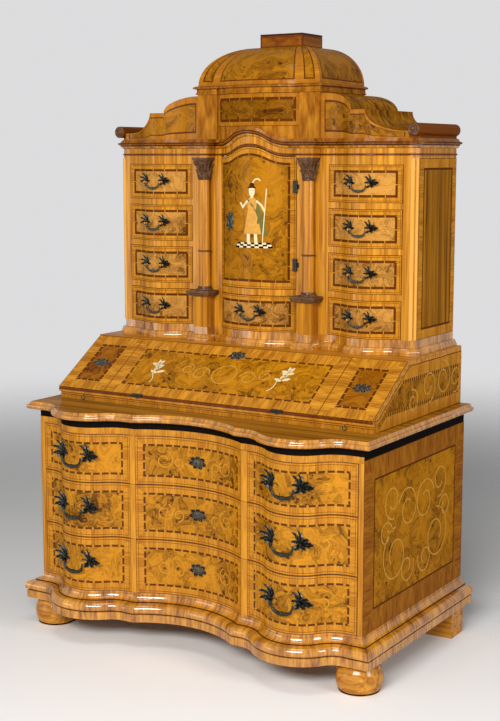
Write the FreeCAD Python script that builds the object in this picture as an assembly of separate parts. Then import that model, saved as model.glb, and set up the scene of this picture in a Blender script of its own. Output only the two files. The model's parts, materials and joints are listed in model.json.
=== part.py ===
import FreeCAD, Part
import os
from math import atan2, copysign, cos, pi, radians, sin, sqrt, tan

os.makedirs("parts", exist_ok=True)
V = FreeCAD.Vector
UP = V(0, 0, 1)
ACROSS = V(1, 0, 0)
BACKWARD = V(0, 1, 0)
HOME = V(0, 0, 0)

# chest plan: half width, back plane, creases, corners set back, lobes and hollow centre
half_width = 620.0
back_y = 434.0
crease_y = -314.0
corner_in = 21.0
corner_flat = 42.0
lobe_out = 72.0
hollow_in = 63.0
crease_x = 205.0
crease_flat = 21.0
spare = 120.0
corner_y = crease_y + corner_in
lobe_y = crease_y - lobe_out
hollow_y = crease_y + hollow_in
lobe_start_x = crease_x + crease_flat
lobe_end_x = half_width - corner_flat
lobe_x = (lobe_start_x + lobe_end_x) / 2

# chest heights from the floor up
foot_height = 92.0
base_fillet_height = 20.0
base_torus_height = 30.0
base_cove_height = 13.0
base_rail_height = 23.0
drawer_heights = (183.0, 184.0, 162.0)
top_rail_height = 10.0
band_height = 37.0
top_board = 26.0
base_fillet_z = foot_height + base_fillet_height
base_torus_z = base_fillet_z + base_torus_height
base_cove_z = base_torus_z + base_cove_height
base_top_z = base_cove_z + base_rail_height
seam_z = [base_top_z]
for height in drawer_heights:
    seam_z.append(seam_z[-1] + height)
band_z = seam_z[-1] + top_rail_height
top_under_z = band_z + band_height
top_z = top_under_z + top_board

# chest mouldings, boards and drawers
base_out = 48.0
base_fillet_out = 43.0
base_cove_out = 11.0
frame_width = 30.0
band_width = 25.0
top_out = 36.0
side_board = 17.0
back_board = 12.0
dust_board = 14.0
dust_inset = 30.0
front_board = 22.0
drawer_side = 12.0
drawer_floor = 8.0
drawer_short = 32.0
gap = 1.2
slide_gap = 1.0
seat_gap = 0.3
dust_front_y = hollow_y + dust_inset
drawer_back_y = back_y - drawer_short

# bun feet in front, block feet behind
bun_inset_x = 26.0
bun_inset_y = 34.0
bun_radius = 73.0
bun_sole_radius = 64.0
bun_neck_radius = 52.0
bun_belly_share = 0.48
sole_height = 5.0
block_width = 92.0
block_out = 34.0
block_inset = 50.0

# chest handles and keyhole plates
handle_half = 47.5
handle_lift = 4.0
rosette_radius = 19.0
plate = 3.0
post_radius = 5.5
post_reach = 14.0
pin_radius = 1.7
run_gap = 0.06
bail_radius = 2.7
bail_drop = 31.0
bail_shoulder_share = 0.80
bail_shares = ((-1.0, 0.0), (-1.0, 0.34), (-0.9, 0.62), (-0.7, 0.84), (-0.4, 0.97), (0.0, 1.0))
key_half_width = 33.0
key_half_height = 19.0
flap_key_shares = ((-0.84, 0.5), (0.0, 0.85), (0.84, 0.5))
keyhole_radius = 3.2

# desk: rail, strip, sloping flap and boards
desk_setin = 15.0
desk_setback = 114.0
desk_board = 18.0
rail_depth = 40.0
rail_height = 38.5
rail_reveal = 23.0
strip_out = 11.0
strip_round = 4.0
desk_floor_board = 20.0
flap_ahead = 1.0
flap_length = 276.0
flap_board = 20.0
slope = 33.0
flap_reveal = 4.9
desk_top_board = 18.0
niche_inset = 130.0
niche_board = 8.0
niche_half = 200.0
desk_half = half_width - desk_setin
rail_y = crease_y + desk_setback
strip_z = top_z + rail_reveal
rail_top = top_z + rail_height
desk_floor_z = rail_top + slide_gap
flap_y = rail_y - strip_out - flap_ahead
flap_z = desk_floor_z + seat_gap
desk_top_z = flap_z + flap_length * sin(radians(slope)) + flap_reveal
desk_top_under_z = desk_top_z - desk_top_board

# lopers with their rings
loper_inset = 100.0
loper_width = 26.0
loper_short = 134.0
guide_board = 12.0
eye_lift = 17.0
eye_radius = 4.2
eye_hole = 2.3
eye_width = 2.4
eye_out = 5.5
ring_radius = 7.0
ring_wire = 1.3
loper_x = desk_half - loper_inset
loper_back_y = back_y - loper_short
eye_z = top_z + eye_lift

# flap and door hinges
hinge_inset = 335.0
hinge_length = 42.0
hinge_share = 0.36
barrel_radius = 4.0
barrel_gap = 0.6
barrel_ahead = 2.4
leaf = 1.6
leaf_reach = 20.0
leaf_drop = 12.0
hinge_pin = 1.6
hinge_x = desk_half - hinge_inset

# upper cabinet plan: canted corners, lobes, flat column bays and bowed centre
cab_setin = 42.0
cab_back_inset = 14.0
cab_depth = 304.0
cant = 23.0
stile_width = 21.0
cab_lobe_out = 42.0
lobe_margin = 9.0
bow_x = 148.0
bow_out = 58.0
bay_width = 120.0
cab_board = 16.0
cab_half = half_width - cab_setin
cab_back_y = back_y - cab_back_inset
cab_y = cab_back_y - cab_depth
cab_lobe_y = cab_y - cab_lobe_out
bow_y = cab_y - bow_out
stile_x = cab_half - cant - stile_width
partition_x = bow_x + bay_width
cab_lobe_start_x = partition_x + lobe_margin
cab_lobe_end_x = stile_x - lobe_margin
cab_lobe_x = (cab_lobe_start_x + cab_lobe_end_x) / 2

# upper cabinet heights from the desk up
plinth_bead_height = 22.0
plinth_rail_height = 26.0
cab_drawer_heights = (124.0, 126.0, 124.0, 120.0)
cab_rail = 20.0
centre_drawer_height = 122.0
shelf_height = 22.0
spring_height = 8.0
frieze_height = 32.0
cornice_height = 31.0
arch_half = 126.0
arch_rise = 40.0
door_arch_rise = 33.0
arch_steps = 16
plinth_bead_z = desk_top_z + plinth_bead_height
plinth_top_z = plinth_bead_z + plinth_rail_height
cab_spaces = []
cab_top_z = plinth_top_z
for height in cab_drawer_heights:
    cab_spaces.append((cab_top_z, cab_top_z + height))
    cab_top_z += height + cab_rail
centre_drawer_top_z = plinth_top_z + centre_drawer_height
door_z = centre_drawer_top_z + shelf_height
spring_z = cab_top_z + spring_height
cornice_z = cab_top_z + frieze_height
cornice_top_z = cornice_z + cornice_height

# upper cabinet boards, drawers, pulls and door
cab_front = 16.0
door_board = 20.0
door_top_gap = 4.6
cab_drawer_side = 8.0
cab_drawer_floor = 6.0
cab_drawer_short = 24.0
cab_dust = 10.0
pull_half = 33.0
pull_lift = -2.0
pull_pin = 1.25
pull_radius = 1.9
pull_drop = 21.0
pull_reach = 10.0
pull_post = 3.6
low_hinge_inset = 80.0
high_hinge_inset = 101.0
door_key_inset = 64.0
door_key_rise = 221.0
cab_drawer_back_y = cab_back_y - cab_drawer_short
door_hinge_z = (door_z + low_hinge_inset, spring_z - high_hinge_inset)
door_key_x = door_key_inset - bow_x
door_key_z = door_z + door_key_rise

# columns
column_inset = 57.0
column_ahead = 21.0
pedestal_half = 27.0
pedestal_height = 156.0
pedestal_cap_height = 17.0
disc_height = 14.0
shaft_radius = 20.5
shaft_top_radius = 18.5
collar_lift = 118.0
collar_height = 6.0
collar_out = 2.4
capital_height = 75.0
capital_half = 30.0
abacus = 13.0
entablature_half = 32.0
entablature_height = 30.0
column_x = bow_x + column_inset
column_y = cab_y - column_ahead
pedestal_cap_z = desk_top_z + pedestal_height
pedestal_top_z = pedestal_cap_z + pedestal_cap_height
shaft_z = pedestal_top_z + disc_height
collar_z = shaft_z + collar_lift
capital_top_z = cornice_z - entablature_height
shaft_top_z = capital_top_z - capital_height

# pediment: scrolled shoulders with rolls, attic, dome and finial block
shoulder_inset = 27.0
shoulder_flat = 17.0
shoulder_edge = 22.0
shoulder_lip = 16.0
low_curl_height = 67.0
high_curl_height = 55.0
high_curl_width = 108.0
step_width = 54.0
roll_radius = 20.0
roll_ahead = 12.0
roll_lift = 9.0
roll_end = 4.0
roll_sink = 2.0
roll_boss_share = 0.6
attic_half = 237.0
attic_ahead = 10.0
attic_bow_x = 160.0
attic_bow_out = 30.0
attic_step = 10.0
attic_height = 149.0
attic_cornice_height = 28.0
dome_height = 130.0
dome_setback = 3.0
dome_inset = 2.0
dome_steps = 8
rib_top_width = 12.0
dome_bulge = 1.0
finial_half = 82.0
finial_back = 24.0
finial_height = 40.0
finial_edge = 7.0
finial_edge_height = 6.0
shoulder_x = cab_half - shoulder_inset
shoulder_low_z = cornice_top_z + shoulder_edge
concave_x = shoulder_x - shoulder_lip
step_z = shoulder_low_z + low_curl_height
shoulder_top_x = attic_half + shoulder_flat
shoulder_top_z = step_z + high_curl_height
step_start_x = shoulder_top_x + high_curl_width
step_end_x = step_start_x + step_width
roll_x = shoulder_x + roll_radius
roll_y = cab_y - roll_ahead
roll_seat_z = cornice_top_z + roll_lift
attic_y = cab_y - attic_ahead
attic_bow_y = attic_y - attic_bow_out
attic_z = cornice_top_z + attic_height
dome_z = attic_z + attic_cornice_height
dome_top_z = dome_z + dome_height
dome_half = attic_half - dome_inset
dome_run = dome_half - finial_half
dome_y = attic_y + dome_setback
finial_y = (dome_y + dome_run, cab_back_y - finial_back)
finial_edge_z = dome_top_z + finial_height
finial_top_z = finial_edge_z + finial_edge_height

# moulding profiles as (share of height, share of projection)
torus_shares = ((0.0, 0.80), (0.18, 0.93), (0.5, 1.0), (0.82, 0.93), (1.0, 0.80))
cove_shares = ((0.0, 1.0), (0.4, 0.9), (0.7, 0.45), (1.0, 0.2))
top_shares = ((0.0, 0.72), (0.3, 0.97), (0.55, 1.0), (0.62, 0.86), (1.0, 0.62))
plinth_shares = ((0.0, 1.0), (0.45, 0.98), (0.6, 0.72), (0.85, 0.62), (1.0, 0.2))
cornice_foot_shares = ((0.0, 0.25), (0.2, 0.45), (0.26, 0.8), (0.42, 1.0))
cornice_shares = cornice_foot_shares + ((0.64, 1.0), (0.7, 0.55), (1.0, 0.3))
attic_foot_shares = ((0.0, 0.0), (0.04, 0.4), (0.18, 0.4), (0.22, 0.1))
attic_shares = attic_foot_shares + ((0.6, 0.1), (0.72, 1.0), (0.86, 1.0), (1.0, 0.25))
plinth_out = 16.0
cornice_out = 22.0
attic_out = 13.0
cap_out = 8.0
cornice_width = 12.0


def save(name, *shapes):
    """Write the solids of one node to its file."""
    solids = [solid for shape in shapes for solid in shape.Solids]
    whole = solids[0] if len(solids) == 1 else Part.makeCompound(solids)
    whole.exportStep(f"parts/{name}.step")


def box(x, y, z):
    """Block between pairs of limits."""
    return Part.makeBox(x[1] - x[0], y[1] - y[0], z[1] - z[0], V(x[0], y[0], z[0]))


def span(centre, half):
    """Limits on both sides of a centre."""
    return (centre - half, centre + half)


def both(shape):
    """A piece and its mirror image on the other side."""
    return [shape, shape.mirror(HOME, ACROSS)]


def rod(radius, start, end):
    """Round bar between two points."""
    line = end - start
    return Part.makeCylinder(radius, line.Length, start, line)


def merge(shapes):
    """One solid from overlapping shapes."""
    return shapes[0].multiFuse(shapes[1:]).removeSplitter()


def slab(face, z):
    """Prism of a plan face between two levels."""
    lifted = face.copy()
    lifted.translate(V(0, 0, z[0]))
    return lifted.extrude(V(0, 0, z[1] - z[0]))


def side_shape(points, x):
    """Prism along X of a closed outline given as (y, z)."""
    wire = Part.makePolygon([V(x[0], y, z) for y, z in points + points[:1]])
    return Part.Face(wire).extrude(V(x[1] - x[0], 0, 0))


def bend(start, end, out=0):
    """Two equal arcs between two points, level at both ends, moved forward by a distance."""
    run = (end.x - start.x) / 2
    rise = (end.y - start.y) / 2
    turn = 2 * atan2(abs(rise), abs(run))
    radius = abs(run) / sin(turn)
    way = V(copysign(1, run), copysign(1, rise), 0)

    def step(angle):
        return V(way.x * radius * sin(angle), way.y * radius * (1 - cos(angle)), 0)

    def forward(angle):
        return V(way.x * way.y * sin(angle), -cos(angle), 0) * out

    middle = start + step(turn) + forward(turn)
    first = Part.Arc(start + forward(0), start + step(turn / 2) + forward(turn / 2), middle)
    second = Part.Arc(middle, end - step(turn / 2) + forward(turn / 2), end + forward(0))
    return [first.toShape(), second.toShape()]


def round_of(half, edge_y, apex_y):
    """Radius and centre of the arc over a chord, with the sign of its hollow."""
    rise = abs(apex_y - edge_y)
    radius = (half * half + rise * rise) / (2 * rise)
    sign = copysign(1, apex_y - edge_y)
    return radius, apex_y - sign * radius, sign


def middle_arc(half, edge_y, apex_y, out):
    """Arc across the centre, moved forward by a distance, and where it now meets its edge."""
    radius, centre, sign = round_of(half, edge_y, apex_y)
    grown = radius - sign * out
    end = V(sqrt(grown * grown - (edge_y - out - centre) ** 2), edge_y - out, 0)
    return end, Part.Arc(end, V(0, apex_y - out, 0), V(-end.x, end.y, 0)).toShape()


def outline(edges):
    """Face inside a closed run of edges."""
    return Part.Face(Part.Wire(Part.__sortEdges__(edges)))


def path(points):
    """Straight edges through points given as (x, y)."""
    places = [V(x, y, 0) for x, y in points]
    return [Part.makeLine(start, end) for start, end in zip(places, places[1:])]


def symmetric(right, centre):
    """Plan face from its right half and its centre arc."""
    left = [edge.mirror(HOME, ACROSS) for edge in right]
    far = right[0].Vertexes[0].Point
    return outline(right + [centre] + left + path([(-far.x, far.y), (far.x, far.y)]))


def chest(out, half=half_width):
    """Plan of the chest, grown by a distance: corners, lobes and hollow centre."""
    edge_y = corner_y - out
    crease, arc = middle_arc(crease_x, crease_y, hollow_y, out)
    right = path([(half + out, back_y + spare), (half + out, edge_y), (lobe_end_x, edge_y)])
    right += bend(V(lobe_end_x, corner_y, 0), V(lobe_x, lobe_y, 0), out)
    right += bend(V(lobe_x, lobe_y, 0), V(lobe_start_x, crease_y, 0), out)
    right += path([(lobe_start_x, crease_y - out), (crease.x, crease_y - out)])
    return symmetric(right, arc)


def wide_chest(out):
    """Plan of the chest front alone, with its ends carried on sideways."""
    return chest(out, half_width + spare)


def cabinet(out):
    """Plan of the upper cabinet, grown by a distance: canted corners, lobes and bowed centre."""
    edge_y = cab_y - out
    corner_x = cab_half - cant + out * (sqrt(2) - 1)
    turn_y = cab_y + cant - out * (sqrt(2) - 1)
    crease, arc = middle_arc(bow_x, cab_y, bow_y, out)
    right = path([(cab_half + out, back_y + spare), (cab_half + out, turn_y), (corner_x, edge_y)])
    right += path([(corner_x, edge_y), (cab_lobe_end_x, edge_y)])
    right += bend(V(cab_lobe_end_x, cab_y, 0), V(cab_lobe_x, cab_lobe_y, 0), out)
    right += bend(V(cab_lobe_x, cab_lobe_y, 0), V(cab_lobe_start_x, cab_y, 0), out)
    right += path([(cab_lobe_start_x, edge_y), (crease.x, edge_y)])
    return symmetric(right, arc)


def attic_plan(out):
    """Plan of the attic, grown by a distance: flat pilasters beside a bowed panel."""
    radius, centre, sign = round_of(attic_bow_x, attic_y + attic_step, attic_bow_y)
    inner_x = attic_bow_x - out
    inner_y = centre - sqrt((radius + out) ** 2 - inner_x * inner_x)
    right = path([(attic_half + out, back_y + spare), (attic_half + out, attic_y - out)])
    right += path([(attic_half + out, attic_y - out), (inner_x, attic_y - out), (inner_x, inner_y)])
    arc = Part.Arc(V(inner_x, inner_y, 0), V(0, attic_bow_y - out, 0), V(-inner_x, inner_y, 0))
    return symmetric(right, arc.toShape())


def square_plan(half):
    """Plan of a block on the right column's axis, which runs back to the wall behind it."""
    def grown(out):
        x = span(column_x, half + out)
        y = (column_y - half - out, cab_y)
        return outline(path([(x[0], y[0]), (x[1], y[0]), (x[1], y[1]), (x[0], y[1]), (x[0], y[0])]))
    return grown


def finial_plan(out):
    """Plan of the block on top of the dome, grown by a distance."""
    x = span(0, finial_half + out)
    y = (finial_y[0] - out, finial_y[1] + out)
    return outline(path([(x[0], y[0]), (x[1], y[0]), (x[1], y[1]), (x[0], y[1]), (x[0], y[0])]))


def moulding(plan, shares, out, z):
    """Moulding round a plan: its outline at each level, joined by ruled faces."""
    wires = []
    for level, share in shares:
        wire = plan(out * share).OuterWire
        wire.translate(V(0, 0, z[0] + level * (z[1] - z[0])))
        wires.append(wire)
    return Part.makeLoft(wires, True, True)


def cut_behind(solid, back, z):
    """Cut a piece off level with a back plane."""
    return solid.cut(box(span(0, half_width + spare), (back, back_y + 2 * spare), z))


def ring(solid, plan, width, back, z):
    """Hollow out a piece from inside and cut it off level with a back plane."""
    return cut_behind(solid.cut(slab(plan(-width), z)), back, z)


def shell(plan, board, z):
    """Board that follows a plan, on its inner side."""
    return slab(plan(0), z).cut(slab(plan(-board), z))


def skin(plan, thickness, z):
    """Thin layer just in front of a plan."""
    return slab(plan(seat_gap + thickness), z).cut(slab(plan(seat_gap), z))


def parted(solid, corner_x, corner_y, z):
    """A moulding parted at its mitred front corners."""
    reach = half_width + spare
    apex = (0, corner_x + corner_y)
    ends = [(side * reach, apex[1] - 2 * reach) for side in (2, -2)]
    front = slab(outline(path([apex, *ends, apex])), z)
    return [solid.common(front), solid.cut(front)]


def upright(face, y):
    """Prism between two depths of a face drawn as (x, z)."""
    stood = face.copy()
    stood.rotate(HOME, ACROSS, 90)
    stood.translate(V(0, y[0], 0))
    return stood.extrude(V(0, y[1] - y[0], 0))


def oval(half_wide, half_high):
    """Ellipse face around the origin, wider than high."""
    return outline([Part.Ellipse(HOME, half_wide, half_high).toShape()])


def drawer(plan, board, x, z, box_z, wall, floor, back):
    """Front, sides, back and bottom of a drawer whose front follows a plan."""
    reach = (lobe_y - spare, back)
    rear = back - wall
    clear = (x[0] + wall, x[1] - wall)
    inside = slab(plan(-board), box_z)
    front = shell(plan, board, z).common(box(x, (reach[0], rear), z))
    left = inside.common(box((x[0], clear[0]), reach, box_z))
    right = inside.common(box((clear[1], x[1]), reach, box_z))
    end = box(clear, (rear, back), box_z)
    base = inside.common(box(clear, (reach[0], rear), (box_z[0], box_z[0] + floor)))
    return [front, left, right, end, base]


def posts(plan, centre, half, radius, axis_y, deep_y, z, bore):
    """Two posts on a curved front, bored across for the ends of a bail."""
    level = span(z, 2 * radius)
    wall = slab(plan(seat_gap), level)
    pair = []
    for x in span(centre, half):
        post = rod(radius, V(x, axis_y - radius, z), V(x, deep_y, z)).cut(wall)
        pair.append(post.cut(rod(bore, V(x - 2 * radius, axis_y, z), V(x + 2 * radius, axis_y, z))))
    return pair


def bail(centre, half, axis_y, z, radius, pin, drop):
    """Hanging bail with a pin at each end."""
    reach = half * bail_shoulder_share
    places = [V(centre + reach * across, axis_y, z - drop * down) for across, down in bail_shares]
    places += [V(2 * centre - place.x, place.y, place.z) for place in reversed(places[:-1])]
    bar = Part.makePolygon(places)
    ring_points = [V(cos(turn * pi / 4), sin(turn * pi / 4), 0) * radius for turn in range(9)]
    section = Part.makePolygon([places[0] + point for point in ring_points])
    pieces = [bar.makePipeShell([section], True, False, 1)]
    for sign in (-1, 1):
        joint = V(centre + sign * reach, axis_y, z)
        pieces.append(rod(radius, joint - ACROSS * radius, joint + ACROSS * radius))
        pieces.append(rod(pin, joint, joint + ACROSS * sign * (half - reach + pin)))
    return merge(pieces)


def arched(low, spring, rise):
    """Face as wide as the bowed centre, drawn as (x, z), with an arched top."""
    edges = path([(-arch_half, spring), (-bow_x, spring), (-bow_x, low), (bow_x, low), (bow_x, spring)])
    edges += path([(bow_x, spring), (arch_half, spring)])
    edges += bend(V(arch_half, spring, 0), V(0, spring + rise, 0))
    edges += bend(V(0, spring + rise, 0), V(-arch_half, spring, 0))
    return outline(edges)


def arch_height(x, rise):
    """Height of the arch above its springing."""
    radius = (arch_half * arch_half + rise * rise) / (4 * rise)
    inward = abs(x)
    outer = arch_half - inward
    if inward < outer:
        return rise - radius + sqrt(radius * radius - inward * inward)
    return radius - sqrt(radius * radius - outer * outer)


def quarter(centre_x, centre_z, wide, high, start):
    """Quarter of an ellipse, from an angle counted in right angles."""
    ellipse = Part.Ellipse(HOME, max(wide, high), min(wide, high))
    tilt = 0 if wide > high else 1
    edge = Part.ArcOfEllipse(ellipse, (start - tilt) * pi / 2, (start - tilt + 1) * pi / 2).toShape()
    edge.rotate(HOME, UP, tilt * 90)
    edge.translate(V(centre_x, centre_z, 0))
    return edge


# chest: base frame, feet, boards, rail and top
base_levels = (foot_height, base_top_z)
fillet = slab(chest(base_fillet_out), (foot_height, base_fillet_z))
torus = moulding(chest, torus_shares, base_out, (base_fillet_z, base_torus_z))
cove = moulding(chest, cove_shares, base_cove_out, (base_torus_z, base_cove_z))
base_rail = slab(chest(0), (base_cove_z, base_top_z))
base = ring(merge([fillet, torus, cove, base_rail]), chest, frame_width, back_y, base_levels)
save("base_moulding", *parted(base, half_width, corner_y, base_levels))

bun_curve = Part.BSplineCurve()
belly = V(bun_radius, 0, bun_belly_share * foot_height)
neck = V(bun_neck_radius, 0, foot_height)
sole = V(bun_sole_radius, 0, sole_height)
bun_curve.interpolate([sole, belly, neck])
bun_points = [neck, V(0, 0, foot_height), HOME, V(bun_sole_radius, 0, 0), sole]
bun_edges = [Part.makeLine(start, end) for start, end in zip(bun_points, bun_points[1:])]
bun = outline([bun_curve.toShape()] + bun_edges).revolve(HOME, UP, 360)
bun.translate(V(half_width - bun_inset_x, corner_y + bun_inset_y, 0))
block_x = (half_width + block_out - block_width, half_width + block_out)
block_y = (back_y - block_inset - block_width, back_y - block_inset)
save("feet", *both(bun), *both(box(block_x, block_y, (0, foot_height))))

inner_half = half_width - side_board
inner_y = back_y - back_board
frame_half = half_width - frame_width
save("chest_sides", *both(box((inner_half, half_width), (corner_y, back_y), (base_top_z, band_z))))
chest_back = box(span(0, inner_half), (inner_y, back_y), (base_top_z, band_z))
chest_floor = box(span(0, frame_half), (dust_front_y, back_y), (base_top_z - dust_board, base_top_z))
dust_depth = (dust_front_y, inner_y)
dust = [box(span(0, inner_half), dust_depth, span(level, dust_board / 2)) for level in seam_z[1:-1]]
rail_levels = (seam_z[-1], band_z)
top_rail = ring(slab(wide_chest(0), rail_levels), wide_chest, band_width, inner_y, rail_levels)
top_rail = top_rail.common(box(span(0, inner_half), (lobe_y, inner_y), rail_levels))
band_levels = (band_z, top_under_z)
band_back = box(span(0, half_width - band_width), (inner_y, back_y), band_levels)
save("chest_boards", chest_back, chest_floor, *dust, top_rail, band_back)
band = ring(slab(chest(0), band_levels), chest, band_width, back_y, band_levels)
save("ebonised_band", *parted(band, half_width, corner_y, band_levels))
top_levels = (top_under_z, top_z)
save("chest_top", cut_behind(moulding(chest, top_shares, top_out, top_levels), back_y, top_levels))

# chest drawers from the top down, with their mounts and bails
drawer_half = inner_half - gap
bail_y = lobe_y - post_reach
drawer_spaces = list(zip(seam_z, seam_z[1:]))
for number, (low, high) in enumerate(reversed(drawer_spaces), 1):
    front_z = (low + gap / 2, high - gap / 2)
    floor_z = base_top_z if low == base_top_z else low + dust_board / 2
    box_z = (floor_z + seat_gap, high - dust_board / 2 - slide_gap)
    x = span(0, drawer_half)
    walls = (drawer_side, drawer_floor, drawer_back_y)
    save(f"chest_drawer_{number}", *drawer(wide_chest, front_board, x, front_z, box_z, *walls))
    middle = (low + high) / 2 + handle_lift
    layer = skin(wide_chest, plate, front_z)
    mounts = []
    for name, centre in (("left", -lobe_x), ("right", lobe_x)):
        place = (centre, handle_half, post_radius, bail_y, crease_y, middle)
        pillars = posts(wide_chest, *place, pin_radius + run_gap)
        for x, pillar in zip(span(centre, handle_half), pillars):
            rosette = layer.common(rod(rosette_radius, V(x, lobe_y - spare, middle), V(x, crease_y, middle)))
            mounts.append(merge([rosette, pillar]))
        hanging = bail(centre, handle_half, bail_y, middle, bail_radius, pin_radius, bail_drop)
        save(f"chest_bail_{number}_{name}", hanging)
    key = upright(oval(key_half_width, key_half_height), (lobe_y, hollow_y))
    key.translate(V(0, 0, middle))
    hole = rod(keyhole_radius, V(0, lobe_y, middle), V(0, hollow_y, middle))
    save(f"chest_mounts_{number}", *mounts, layer.common(key).cut(hole))

# desk: sides, rail, floor, top, back and loper guides
lean = radians(slope)
along = V(0, cos(lean), sin(lean))
outward = V(0, -sin(lean), cos(lean))
flap_low = V(0, flap_y, flap_z)
flap_high = flap_low + along * flap_length
flap_inner_high = flap_high - outward * flap_board
flap_inner_y = flap_y + flap_board / sin(lean)
desk_inner = desk_half - desk_board
edge_y = flap_inner_y + slide_gap / sin(lean)
edge_top_y = edge_y + (desk_top_under_z - rail_top) / tan(lean)
side_points = [(rail_y, top_z), (rail_y, rail_top), (edge_y, rail_top), (edge_top_y, desk_top_under_z)]
side_points += [(back_y, desk_top_under_z), (back_y, top_z)]
desk_side = side_shape(side_points, (desk_inner, desk_half))
rail_board = box(span(0, desk_inner), (rail_y, rail_y + rail_depth), (top_z, rail_top))
strip = box(span(0, desk_half), (rail_y - strip_out, rail_y), (strip_z, rail_top))
bounds = [(edge, edge.BoundBox) for edge in strip.Edges]
front_edges = [edge for edge, room in bounds if room.YMax < rail_y and room.XLength > desk_half]
strip = strip.makeFillet(strip_round, front_edges)
slot_half = (loper_width + gap) / 2
slot_y = (rail_y - strip_out, rail_y + rail_depth)
slot = box(span(loper_x, slot_half), slot_y, (top_z, rail_top))
rail = merge([rail_board, strip]).cut(Part.makeCompound(both(slot)))
guides = []
for centre in span(loper_x, slot_half + guide_board / 2):
    guides += both(box(span(centre, guide_board / 2), (slot_y[1], loper_back_y), (top_z, rail_top)))
desk_floor_y = edge_y + desk_floor_board / tan(lean)
niche_low = desk_floor_z + desk_floor_board
desk_floor = box(span(0, desk_inner), (desk_floor_y, inner_y), (desk_floor_z, niche_low))
desk_back = box(span(0, desk_inner), (inner_y, back_y), (top_z, desk_top_under_z))
top_low_y = flap_high.y + (flap_high.z - desk_top_under_z) * tan(lean) + slide_gap / cos(lean)
top_high_y = flap_high.y + (flap_high.z - desk_top_z) * tan(lean) + slide_gap / cos(lean)
top_points = [(top_high_y, desk_top_z), (back_y, desk_top_z)]
top_points += [(back_y, desk_top_under_z), (top_low_y, desk_top_under_z)]
desk_top = side_shape(top_points, span(0, desk_half))
save("desk_carcase", *both(desk_side), rail, *guides, desk_floor, desk_back, desk_top)

niche_y = flap_high.y + niche_inset
niche_levels = (niche_low, desk_top_under_z)
niche_upright = box(span(niche_half, niche_board / 2), (niche_y, inner_y), niche_levels)
save("desk_interior", *both(niche_upright))

# fall flap with keyhole plates and hinges
flap_points = [(flap_low.y, flap_low.z), (flap_high.y, flap_high.z)]
flap_points += [(flap_inner_high.y, flap_inner_high.z), (flap_inner_y, flap_low.z)]
flap = side_shape(flap_points, span(0, desk_half))
axis_y = flap_y - barrel_ahead
strip_y = rail_y - strip_out
half_hinge = hinge_length / 2
half_knuckle = half_hinge * hinge_share
flap_mounts = []
fixed_hinges = []
for x in span(0, hinge_x):
    whole = [V(limit, axis_y, flap_z) for limit in span(x, half_hinge)]
    core = [V(limit, axis_y, flap_z) for limit in span(x, half_knuckle)]
    core_room = [V(limit, axis_y, flap_z) for limit in span(x, half_knuckle + barrel_gap / 2)]
    room = [V(limit, axis_y, flap_z) for limit in span(x, half_hinge + barrel_gap)]
    flap = flap.cut(rod(barrel_radius + barrel_gap, *room))
    moving_leaf = box(span(x, half_hinge), (-barrel_ahead, leaf_reach), (0, leaf))
    moving_leaf.rotate(HOME, ACROSS, slope)
    moving_leaf.translate(flap_low)
    moving = merge([rod(barrel_radius, *whole), moving_leaf])
    moving = moving.cut(rod(barrel_radius + barrel_gap, *core_room)).cut(rod(hinge_pin + run_gap, *whole))
    flap_mounts.append(moving)
    fixed_leaf = box(span(x, half_knuckle), (strip_y - leaf, strip_y), (flap_z - leaf_drop, flap_z))
    fixed_hinges.append(merge([rod(barrel_radius, *core), fixed_leaf, rod(hinge_pin, *whole)]))
for across_share, along_share in flap_key_shares:
    key = oval(key_half_width, key_half_height).extrude(V(0, 0, plate))
    key = key.cut(rod(keyhole_radius, HOME, V(0, 0, plate)))
    key.translate(V(across_share * desk_half, along_share * flap_length, 0))
    key.rotate(HOME, ACROSS, slope)
    key.translate(flap_low)
    flap_mounts.append(key)
save("fall_flap", flap)
save("flap_mounts", *flap_mounts)

# lopers with an eye and a hanging ring
ring_y = rail_y - eye_out
for name, x in (("left", -loper_x), ("right", loper_x)):
    width = span(x, loper_width / 2)
    bar = box(width, (rail_y, loper_back_y), (top_z + seat_gap, rail_top - slide_gap))
    head = strip.common(box(width, (strip_y, rail_y), (strip_z, rail_top - slide_gap)))
    thick = span(x, eye_width / 2)
    sides = [V(limit, ring_y, eye_z) for limit in thick]
    shank = box(thick, (ring_y, rail_y), span(eye_z, eye_radius / 2))
    eye = merge([rod(eye_radius, *sides), shank]).cut(rod(eye_hole, *sides))
    save(f"loper_{name}", merge([bar, head]), eye)
    turns = [turn * pi / 3 for turn in range(7)]
    wire = [V(x + ring_radius + ring_wire * cos(turn), ring_y + ring_wire * sin(turn), 0) for turn in turns]
    loop = Part.Face(Part.makePolygon(wire)).revolve(V(x, ring_y, 0), BACKWARD, 360)
    loop.translate(UP * (eye_z - ring_radius))
    save(f"loper_ring_{name}", loop)

# upper cabinet: pedestals, plinth, boards and pilasters
pedestal_plan = square_plan(pedestal_half)
body = slab(pedestal_plan(0), (desk_top_z, pedestal_cap_z))
foot = moulding(pedestal_plan, plinth_shares, plinth_out, (desk_top_z, plinth_bead_z))
cap = moulding(pedestal_plan, torus_shares, cap_out, (pedestal_cap_z, pedestal_top_z))
pedestals = both(merge([body, foot, cap]))
save("pedestals", *pedestals)
plinth_levels = (desk_top_z, plinth_top_z)
bead = moulding(cabinet, plinth_shares, plinth_out, (desk_top_z, plinth_bead_z))
plinth = merge([bead, slab(cabinet(0), (plinth_bead_z, plinth_top_z))])
plinth = ring(plinth, cabinet, cab_board, cab_back_y, plinth_levels)
plinth = plinth.cut(Part.makeCompound(pedestals))
save("cabinet_moulding", *parted(plinth, cab_half, cab_y + cant, plinth_levels))

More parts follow.
